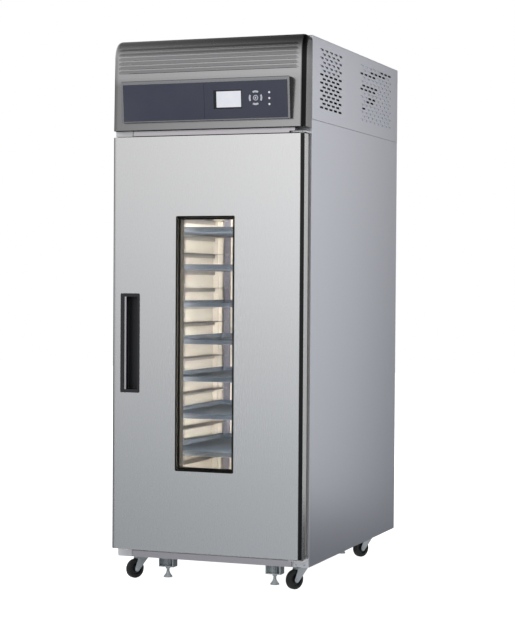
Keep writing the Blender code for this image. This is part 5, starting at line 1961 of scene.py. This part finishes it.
def make_condenser():
    """A stack of fins between two end sheets, its tubes, and the fan's motor on a bracket."""
    depth = 40 * mm
    base_height = 4 * mm
    fin_thickness = 0.4 * mm
    fin_margin = 6 * mm
    end_out = 1 * mm
    tube_radius = 4.5 * mm
    tube_margin = 15 * mm
    rows = 8
    bend_steps = 8
    low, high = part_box("condenser")
    inner = high.x - depth
    top = high.z
    base_top = low.z + base_height
    pitch = settings().fin_pitch
    first = low.y + fin_margin
    fin = block("condenser_fins", (inner, first, base_top), (high.x, first + fin_thickness, top))
    repeat(fin, int((high.y - low.y - 2 * fin_margin) / pitch), (0, pitch, 0))
    done(fin, "cabinet", fin_aluminium(), "fin_aluminium", "condenser")
    base = block("condenser_tray", low, (high.x, high.y, base_top))
    for y in (low.y, high.y - sheet):
        weld(base, block("end", (inner - end_out, y, low.z), (high.x, y + sheet, top)))
    soften(base, 0.5 * mm, 2)
    done(base, "cabinet", zinc(), "zinc")
    tubes = []
    rise = (top - base_top - 2 * tube_margin) / (rows - 1)
    middle = (inner + high.x) / 2
    lowest = base_top + tube_margin
    for row in range(rows - 1):
        sign, y = (1, high.y - touch) if row % 2 == 0 else (-1, low.y + touch)
        half_way = lowest + (row + 0.5) * rise
        angles = [math.pi * step / bend_steps for step in range(bend_steps + 1)]
        bend = [
            (middle, y + sign * math.sin(angle) * rise / 2, half_way - math.cos(angle) * rise / 2)
            for angle in angles
        ]
        tubes.append(pipe("bend", bend, tube_radius, 3, False))
    for row in range(rows):
        z = lowest + row * rise
        tubes.append(pipe("run", [(middle, low.y, z), (middle, high.y, z)], tube_radius, 3, False))
    done(join(tubes), "cabinet", copper(), "fin_aluminium").name = "condenser_tubes"
    make_motor(low.z + 2 * mm)


def make_motor(deck):
    """The cooling fan's motor, its shaft reaching into the fan, on a bracket that stands on the deck."""
    gap = 12 * mm
    length = 50 * mm
    radius = 30 * mm
    shaft_radius = 5 * mm
    shaft_length = 28 * mm
    arm_half = 20 * mm
    arm_thickness = 5 * mm
    fan_low, fan_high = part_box("condenser_fan")
    centre = (fan_low + fan_high) / 2
    near = fan_low.x - gap
    motor = rod("cooling_motor", (near - length / 2, centre.y, centre.z), radius, length, "X", 48)
    soften(motor, 4 * mm, 4)
    shaft_middle = (near + shaft_length / 2, centre.y, centre.z)
    weld(motor, rod("shaft", shaft_middle, shaft_radius, shaft_length, "X", 24))
    done(motor, "cabinet", black_enamel(), "black_enamel")
    arm = block(
        "cooling_motor_bracket", (near - length, centre.y - arm_half, deck),
        (near - length + arm_thickness, centre.y + arm_half, centre.z),
    )
    soften(arm, 1 * mm, 2)
    done(arm, "cabinet", zinc(), "zinc")


def make_lines():
    """The discharge line from the can to the coil, and the suction line from the chamber to the can."""
    discharge_radius = 4 * mm
    suction_radius = 6 * mm
    can_low, can_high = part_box("compressor")
    coil_low, coil_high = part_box("condenser")
    centre = (can_low + can_high) / 2
    deck = can_low.z
    middle = coil_high.x - 20 * mm
    discharge = [
        (centre.x + 55 * mm, centre.y, deck + 120 * mm),
        (centre.x + 95 * mm, centre.y, deck + 130 * mm),
        (centre.x + 125 * mm, centre.y - 30 * mm, deck + 70 * mm),
        (centre.x + 200 * mm, coil_low.y - 40 * mm, deck + 40 * mm),
        (middle - 60 * mm, coil_low.y - 45 * mm, deck + 40 * mm),
        (middle, coil_low.y - 30 * mm, deck + 30 * mm),
        (middle, coil_low.y + 2 * mm, deck + 19 * mm),
    ]
    suction = [
        (centre.x - 50 * mm, centre.y, deck + 110 * mm),
        (centre.x - 95 * mm, centre.y, deck + 120 * mm),
        (centre.x - 110 * mm, centre.y + 60 * mm, deck + 60 * mm),
        (centre.x - 60 * mm, centre.y + 190 * mm, deck + 20 * mm),
        (centre.x, centre.y + 250 * mm, deck + 6 * mm),
    ]
    for name, points, radius in (
        ("discharge_line", discharge, discharge_radius), ("suction_line", suction, suction_radius)
    ):
        done(pipe(name, points, radius), "cabinet", copper(), "fin_aluminium")


class PROOFER_OT_machinery(bpy.types.Operator):
    """Compressor, finned condenser, its fan and motor, and the copper lines"""

    bl_idname = "proofer.machinery"
    bl_label = "Machinery"

    def execute(self, context):
        make_compressor()
        make_condenser()
        make_lines()
        dress("condenser_fan", black_abs())
        return {"FINISHED"}


# Chamber

def make_rack(side, sign):
    """Two slotted uprights with their runners, and the end stop behind them."""
    level = 72.75 * mm
    post_width = 30 * mm
    post_depth = 16 * mm
    slot_margin = 11 * mm
    slot_depth = 4 * mm
    slot_low = 20 * mm
    slot_high = 42 * mm
    runner_thickness = 2 * mm
    runner_width = 64 * mm
    fold_height = 18 * mm
    low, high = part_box(f"tray_rack_{side}")
    wall = high.x if sign > 0 else -low.x
    tip = low.x if sign > 0 else -high.x
    post_in = wall - post_depth
    # The trays rest on the fourth runner from below and on those over it.
    below_first_tray = 3
    rest = 0.3 * mm
    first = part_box("tray_1")[0].z - rest - below_first_tray * level

    def span(near, far, ys, zs):
        start, end = sorted((sign * near, sign * far))
        return (start, ys[0], zs[0]), (end, ys[1], zs[1])

    pieces = []
    for front in (body_front + 60 * mm, body_front + 480 * mm):
        back = front + post_width
        post = block("post", *span(post_in, wall, (front, back), (low.z, high.z)))
        round_edges(
            post, lambda middle, run: runs_up(middle, run) and abs(middle.x) < wall - touch, 2 * mm, 3
        )
        hole = block("hole", *span(
            post_in - overrun, post_in + slot_depth, (front + slot_margin, back - slot_margin),
            (first + slot_low, first + slot_high),
        ))
        repeat(hole, runner_rows - 1, (0, 0, level))
        cut(post, hole)
        pieces.append(post)
    stop_ys = (body_front + 832 * mm, body_front + 845 * mm)
    stop = block(f"rack_stop_{side}", *span(tip + 9 * mm, tip + 37 * mm, stop_ys, (low.z, high.z)))
    round_edges(stop, runs_up, 2 * mm, 3)
    # The stops get a darker grey than the racks: painted shade.
    done(stop, "cabinet", stop_painted_shade_grey(), "zinc")
    run_ys = (body_front + 47 * mm, body_front + 838.5 * mm)
    web_out = post_in + runner_thickness
    runner = block("runner", *span(
        web_out - runner_width, web_out, run_ys, (first - runner_thickness, first)
    ))
    fold = block("fold", *span(
        post_in, web_out, run_ys, (first - fold_height, first - runner_thickness / 2)
    ))
    weld(runner, fold)
    soften(runner, 0.6 * mm, 2)
    repeat(runner, runner_rows, (0, 0, level))
    pieces.append(runner)
    rack = join(pieces)
    rack.name = f"rack_{side}"
    done(rack, "cabinet", rack_coating(), "zinc", f"tray_rack_{side}")


class PROOFER_OT_racks(bpy.types.Operator):
    """Slotted uprights, folded runners and end stops on both sides"""

    bl_idname = "proofer.racks"
    bl_label = "Tray racks"

    def execute(self, context):
        for side, sign in (("left", -1), ("right", 1)):
            make_rack(side, sign)
        return {"FINISHED"}


def make_tray(low, high):
    """A pan: corners rounded, walls drawn inwards to the floor, hollowed, with a rolled rim."""
    corner = 22 * mm
    inner_corner = 18 * mm
    draft = 14 * mm
    heel = 5 * mm
    wall = 1.5 * mm
    rim_width = 4.5 * mm
    rim_height = 5 * mm
    pan = block("tray", low, high)
    round_edges(pan, runs_up, corner, 7)
    edit(pan)
    pick("FACE", faces_down)
    size = high - low
    narrower = (1 - draft / size.x, 1 - draft / size.y, 1)
    bpy.ops.transform.resize(value=narrower, center_override=(low + high) / 2)
    pick("EDGE", lambda middle, run: middle.z < low.z + touch)
    bpy.ops.mesh.bevel(offset=heel, segments=4, affect="EDGES")
    pick("FACE", faces_up)
    bpy.ops.mesh.delete(type="FACE")
    leave()
    use_modifier(pan, "SOLIDIFY", thickness=wall, offset=-1, use_even_offset=True)
    rim = block("rim", (low.x, low.y, high.z - rim_height), high)
    round_edges(rim, runs_up, corner, 7)
    hole = block(
        "hole", (low.x + rim_width, low.y + rim_width, high.z - overrun),
        (high.x - rim_width, high.y - rim_width, high.z + overrun),
    )
    round_edges(hole, runs_up, inner_corner, 7)
    cut(rim, hole)
    soften(rim, 1.6 * mm, 3, 50)
    return join([pan, rim])


class PROOFER_OT_trays(bpy.types.Operator):
    """Seven coated baking trays with rolled rims"""

    bl_idname = "proofer.trays"
    bl_label = "Trays"

    def execute(self, context):
        low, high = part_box("tray_1")
        model = make_tray(low, high)
        for i in range(tray_rows):
            node = f"tray_{i + 1}"
            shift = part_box(node)[0] - low
            copy = duplicate(model, f"baking_tray_{i + 1}", shift)
            done(copy, "cabinet", tray_coating(), "tray_aluminium", node)
        bpy.data.objects.remove(model)
        return {"FINISHED"}


def make_water_pan():
    """An open pan, hollowed from above."""
    wall = 2.5 * mm
    low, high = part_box("humidifier_pan")
    pan = block("water_pan", low, high)
    edit(pan)
    pick("FACE", faces_up)
    bpy.ops.mesh.inset(thickness=wall)
    bpy.ops.mesh.extrude_region_move(TRANSFORM_OT_translate={"value": (0, 0, low.z - high.z + wall)})
    leave()
    soften(pan, 1.0 * mm, 3)
    done(pan, "cabinet", pan_steel(), "stainless", "humidifier_pan")


def make_lamp():
    """A bar of light under the chamber's roof."""
    low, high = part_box("interior_lamp")
    lamp = block("ceiling_lamp", low, high)
    round_edges(
        lamp, lambda middle, run: runs_across(middle, run) and middle.z < low.z + touch, 9 * mm, 6
    )
    done(lamp, "cabinet", diffuser(), "diffuser", "interior_lamp")


class PROOFER_OT_chamber(bpy.types.Operator):
    """The duct panel, fan, heater, water pan and lamp"""

    bl_idname = "proofer.chamber"
    bl_label = "Chamber fittings"

    def execute(self, context):
        dress("air_duct_panel", liner_enamel())
        dress("air_heater", heater_alloy())
        dress("circulation_fan", black_abs())
        dress("circulation_fan_motor", black_enamel())
        make_water_pan()
        make_lamp()
        return {"FINISHED"}


# Floor, lamps, world and camera

def stage_material():
    """White paper for the camera, a quiet pale grey for everything that it lights."""
    material, tree, shader = fresh("white paper sweep")
    tree.nodes.remove(shader)
    path = add_node(tree, "ShaderNodeLightPath")
    paper = add_node(tree, "ShaderNodeBsdfDiffuse", {"Color": srgb("#CFCFD1")}).outputs[0]
    seen = add_node(
        tree, "ShaderNodeEmission", {"Color": srgb("#FFFFFF"), "Strength": path.outputs["Is Camera Ray"]}
    ).outputs[0]
    total = add_node(tree, "ShaderNodeAddShader", {0: paper, 1: seen}).outputs[0]
    tree.links.new(total, tree.nodes["Material Output"].inputs["Surface"])
    return material


def studio_world():
    """White where the camera looks; for gloss and light, a pale room that darkens overhead."""
    world = bpy.data.worlds.new("studio")
    bpy.context.scene.world = world
    world.use_nodes = True
    tree = world.node_tree
    tree.nodes.clear()
    path = add_node(tree, "ShaderNodeLightPath")
    way = add_node(tree, "ShaderNodeTexCoord").outputs["Generated"]
    height = add_node(tree, "ShaderNodeSeparateXYZ", {"Vector": way}).outputs["Z"]
    rise = add_node(
        tree, "ShaderNodeMapRange", {"Value": height, "From Min": -1.0, "From Max": 1.0}
    ).outputs["Result"]
    ramp = add_node(tree, "ShaderNodeValToRGB", {"Fac": rise})
    # Height of the direction, brightness there, and how much warmer than neutral it is.
    bands = (
        (-1.0, 1.1, 0.0), (-0.7, 1.1, 0.0), (-0.45, 0.26, -0.09), (-0.14, 0.31, -0.07), (0.0, 0.76, -0.03),
        (0.07, 1.0, 0.01), (0.12, 0.98, 0.01), (0.19, 0.84, 0.0), (0.30, 1.02, 0.0), (0.45, 0.78, 0.0),
        (0.64, 0.56, 0.0), (0.85, 0.27, 0.0), (1.0, 0.14, 0.0),
    )
    stops = ramp.color_ramp.elements
    stops.remove(stops[1])
    for number, (direction, level, warmth) in enumerate(bands):
        position = (direction + 1.0) / 2.0
        stop = stops[0] if number == 0 else stops.new(position)
        stop.position = position
        stop.color = (level * (1 + warmth), level, level * (1 - warmth), 1.0)
    # Walls of the studio, each a direction with a level for what lies away from it and for itself: a
    # slightly paler one on the right, a duller one on the left, and one behind the cabinet that is dim at
    # its sides and bright in its middle. In front there is a bright window, a little to the left.
    flat = add_node(
        tree, "ShaderNodeVectorMath", {0: way, 1: (1.0, 1.0, 0.0)}, operation="MULTIPLY"
    ).outputs["Vector"]
    around = add_node(tree, "ShaderNodeVectorMath", {0: flat}, operation="NORMALIZE").outputs["Vector"]
    walls = (
        ("right", way, (0.906, -0.423, 0.0), 0.208, 0.326, 1.0, 1.05),
        ("left", way, (-0.94, 0.34, 0.0), 0.36, 0.50, 1.0, 0.85),
        ("behind", around, (0.0, 1.0, 0.0), 0.78, 0.91, 0.93, 0.15),
        ("window", around, (-0.242, -0.970, 0.0), 0.9816, 0.9954, 0.91, 1.62),
        ("middle behind", around, (0.0, 1.0, 0.0), 0.975, 0.995, 1.0, 3.6),
    )
    shades = {}
    for name, direction, toward, start, end, away, level in walls:
        facing = add_node(
            tree, "ShaderNodeVectorMath", {0: direction, 1: toward}, operation="DOT_PRODUCT"
        ).outputs["Value"]
        shades[name] = add_node(
            tree, "ShaderNodeMapRange",
            {"Value": facing, "From Min": start, "From Max": end, "To Min": away, "To Max": level},
        ).outputs["Result"]
    # The left wall is duller only up to the height of the fascia.
    over_door = add_node(
        tree, "ShaderNodeMapRange", {"Value": height, "From Min": 0.10, "From Max": 0.17}
    ).outputs["Result"]
    shades["left"] = add_node(
        tree, "ShaderNodeMath", {0: shades["left"], 1: over_door}, operation="MAXIMUM"
    ).outputs[0]
    brightness = 1.06
    for shade in shades.values():
        brightness = add_node(
            tree, "ShaderNodeMath", {0: shade, 1: brightness}, operation="MULTIPLY"
        ).outputs[0]
    room = add_node(
        tree, "ShaderNodeBackground", {"Color": ramp.outputs["Color"], "Strength": brightness}
    ).outputs[0]
    white = add_node(tree, "ShaderNodeBackground", {"Color": srgb("#FFFFFF"), "Strength": 1.0}).outputs[0]
    soft = add_node(tree, "ShaderNodeBackground", {"Color": srgb("#F2F4F8"), "Strength": 0.7}).outputs[0]
    mirrored = add_node(
        tree, "ShaderNodeMixShader", {0: path.outputs["Is Glossy Ray"], 1: soft, 2: room}
    ).outputs[0]
    seen = add_node(
        tree, "ShaderNodeMath", {0: path.outputs["Is Camera Ray"], 1: path.outputs["Is Transmission Ray"]},
        operation="MAXIMUM",
    ).outputs[0]
    final = add_node(tree, "ShaderNodeMixShader", {0: seen, 1: mirrored, 2: white}).outputs[0]
    out = add_node(tree, "ShaderNodeOutputWorld")
    tree.links.new(final, out.inputs["Surface"])


def area_lamp(name, place, target, power, wide, tall, colour="#FFFFFF"):
    """A soft lamp of a size and power, turned from its place towards a target and unseen itself."""
    light = bpy.data.lights.new(name, "AREA")
    light.shape = "RECTANGLE"
    light.size = wide
    light.size_y = tall
    light.energy = power
    light.color = srgb(colour)[:3]
    lamp = bpy.data.objects.new(name, light)
    bpy.context.scene.collection.objects.link(lamp)
    lamp.location = place
    lamp.rotation_euler = (Vector(target) - Vector(place)).to_track_quat("-Z", "Y").to_euler()
    lamp.visible_camera = False
    return lamp


def make_camera():
    """The camera as solved from the edges in the photograph."""
    yaw = math.radians(20.613)
    pitch = math.radians(-1.258)
    roll = math.radians(0.364)
    place = (2.50652, body_front - 6.18390, 1.17476)
    camera = bpy.data.cameras.new("camera")
    camera.lens = 97.38
    camera.sensor_width = 36
    eye = bpy.data.objects.new("camera", camera)
    bpy.context.scene.collection.objects.link(eye)
    aim = Matrix.Rotation(yaw, 4, "Z") @ Matrix.Rotation(math.pi / 2 + pitch, 4, "X")
    eye.matrix_world = Matrix.Translation(place) @ aim @ Matrix.Rotation(roll, 4, "Z")
    bpy.context.scene.camera = eye


class PROOFER_OT_stage(bpy.types.Operator):
    """White floor, soft studio lamps, chamber light and the camera"""

    bl_idname = "proofer.stage"
    bl_label = "Stage"

    def execute(self, context):
        deselect()
        bpy.ops.mesh.primitive_plane_add(size=30, location=(0, 0, 0))
        floor = bpy.context.object
        floor.name = "floor"
        floor.data.materials.append(stage_material())
        floor.visible_glossy = False
        studio_world()
        middle = (0, 0, 1.0)
        area_lamp("key", (-3.4, -3.4, 3.6), middle, 45, 2.4, 2.4).visible_glossy = False
        area_lamp("side", (1.60, 1.86, 1.24), (half_width, -0.3, 1.06), 5, 0.9, 2.6)
        area_lamp("top", (0.2, 0.2, 4.6), middle, 40, 2.0, 2.0).visible_glossy = False
        # One upright strip on each side, just inside the door opening, the one on the right stronger.
        strip_x = 328 * mm
        strip_y = body_front + 44 * mm
        strip_z = 1040 * mm
        wall_x = 350 * mm
        wall_y = 150 * mm
        for side, share in ((-1, 0.6), (1, 1.6)):
            strip = area_lamp(
                f"chamber_{side}", (side * strip_x, strip_y, strip_z), (-side * wall_x, wall_y, strip_z),
                settings().chamber_light * share, 24 * mm, 1280 * mm, "#FFFCF8",
            )
            strip.visible_glossy = False
        make_camera()
        context.scene.view_settings.view_transform = "Standard"
        return {"FINISHED"}


class PROOFER_PT_panel(bpy.types.Panel):
    bl_label = "Proofing cabinet"
    bl_idname = "PROOFER_PT_panel"
    bl_space_type = "VIEW_3D"
    bl_region_type = "UI"
    bl_category = "Proofer"

    def draw(self, context):
        for name in ProoferSettings.__annotations__:
            self.layout.prop(settings(), name)
        for operator in operators:
            self.layout.operator(operator.bl_idname)


operators = (
    PROOFER_OT_body, PROOFER_OT_base, PROOFER_OT_casters, PROOFER_OT_feet, PROOFER_OT_door,
    PROOFER_OT_window, PROOFER_OT_handle, PROOFER_OT_fascia, PROOFER_OT_controls, PROOFER_OT_vents,
    PROOFER_OT_machinery, PROOFER_OT_racks, PROOFER_OT_trays, PROOFER_OT_chamber, PROOFER_OT_stage,
)
classes = (ProoferSettings, *operators, PROOFER_PT_panel)


def register():
    for each in classes:
        bpy.utils.register_class(each)
    bpy.types.Scene.proofing_cabinet = PointerProperty(type=ProoferSettings)


def unregister():
    del bpy.types.Scene.proofing_cabinet
    for each in reversed(classes):
        bpy.utils.unregister_class(each)


def main():
    register()
    bpy.ops.proofer.body()
    bpy.ops.proofer.base()
    bpy.ops.proofer.casters()
    bpy.ops.proofer.feet()
    bpy.ops.proofer.door()
    bpy.ops.proofer.window()
    bpy.ops.proofer.handle()
    bpy.ops.proofer.fascia()
    bpy.ops.proofer.controls()
    bpy.ops.proofer.vents()
    bpy.ops.proofer.machinery()
    bpy.ops.proofer.racks()
    bpy.ops.proofer.trays()
    bpy.ops.proofer.chamber()
    bpy.ops.proofer.stage()


if __name__ == "__main__":
    main()
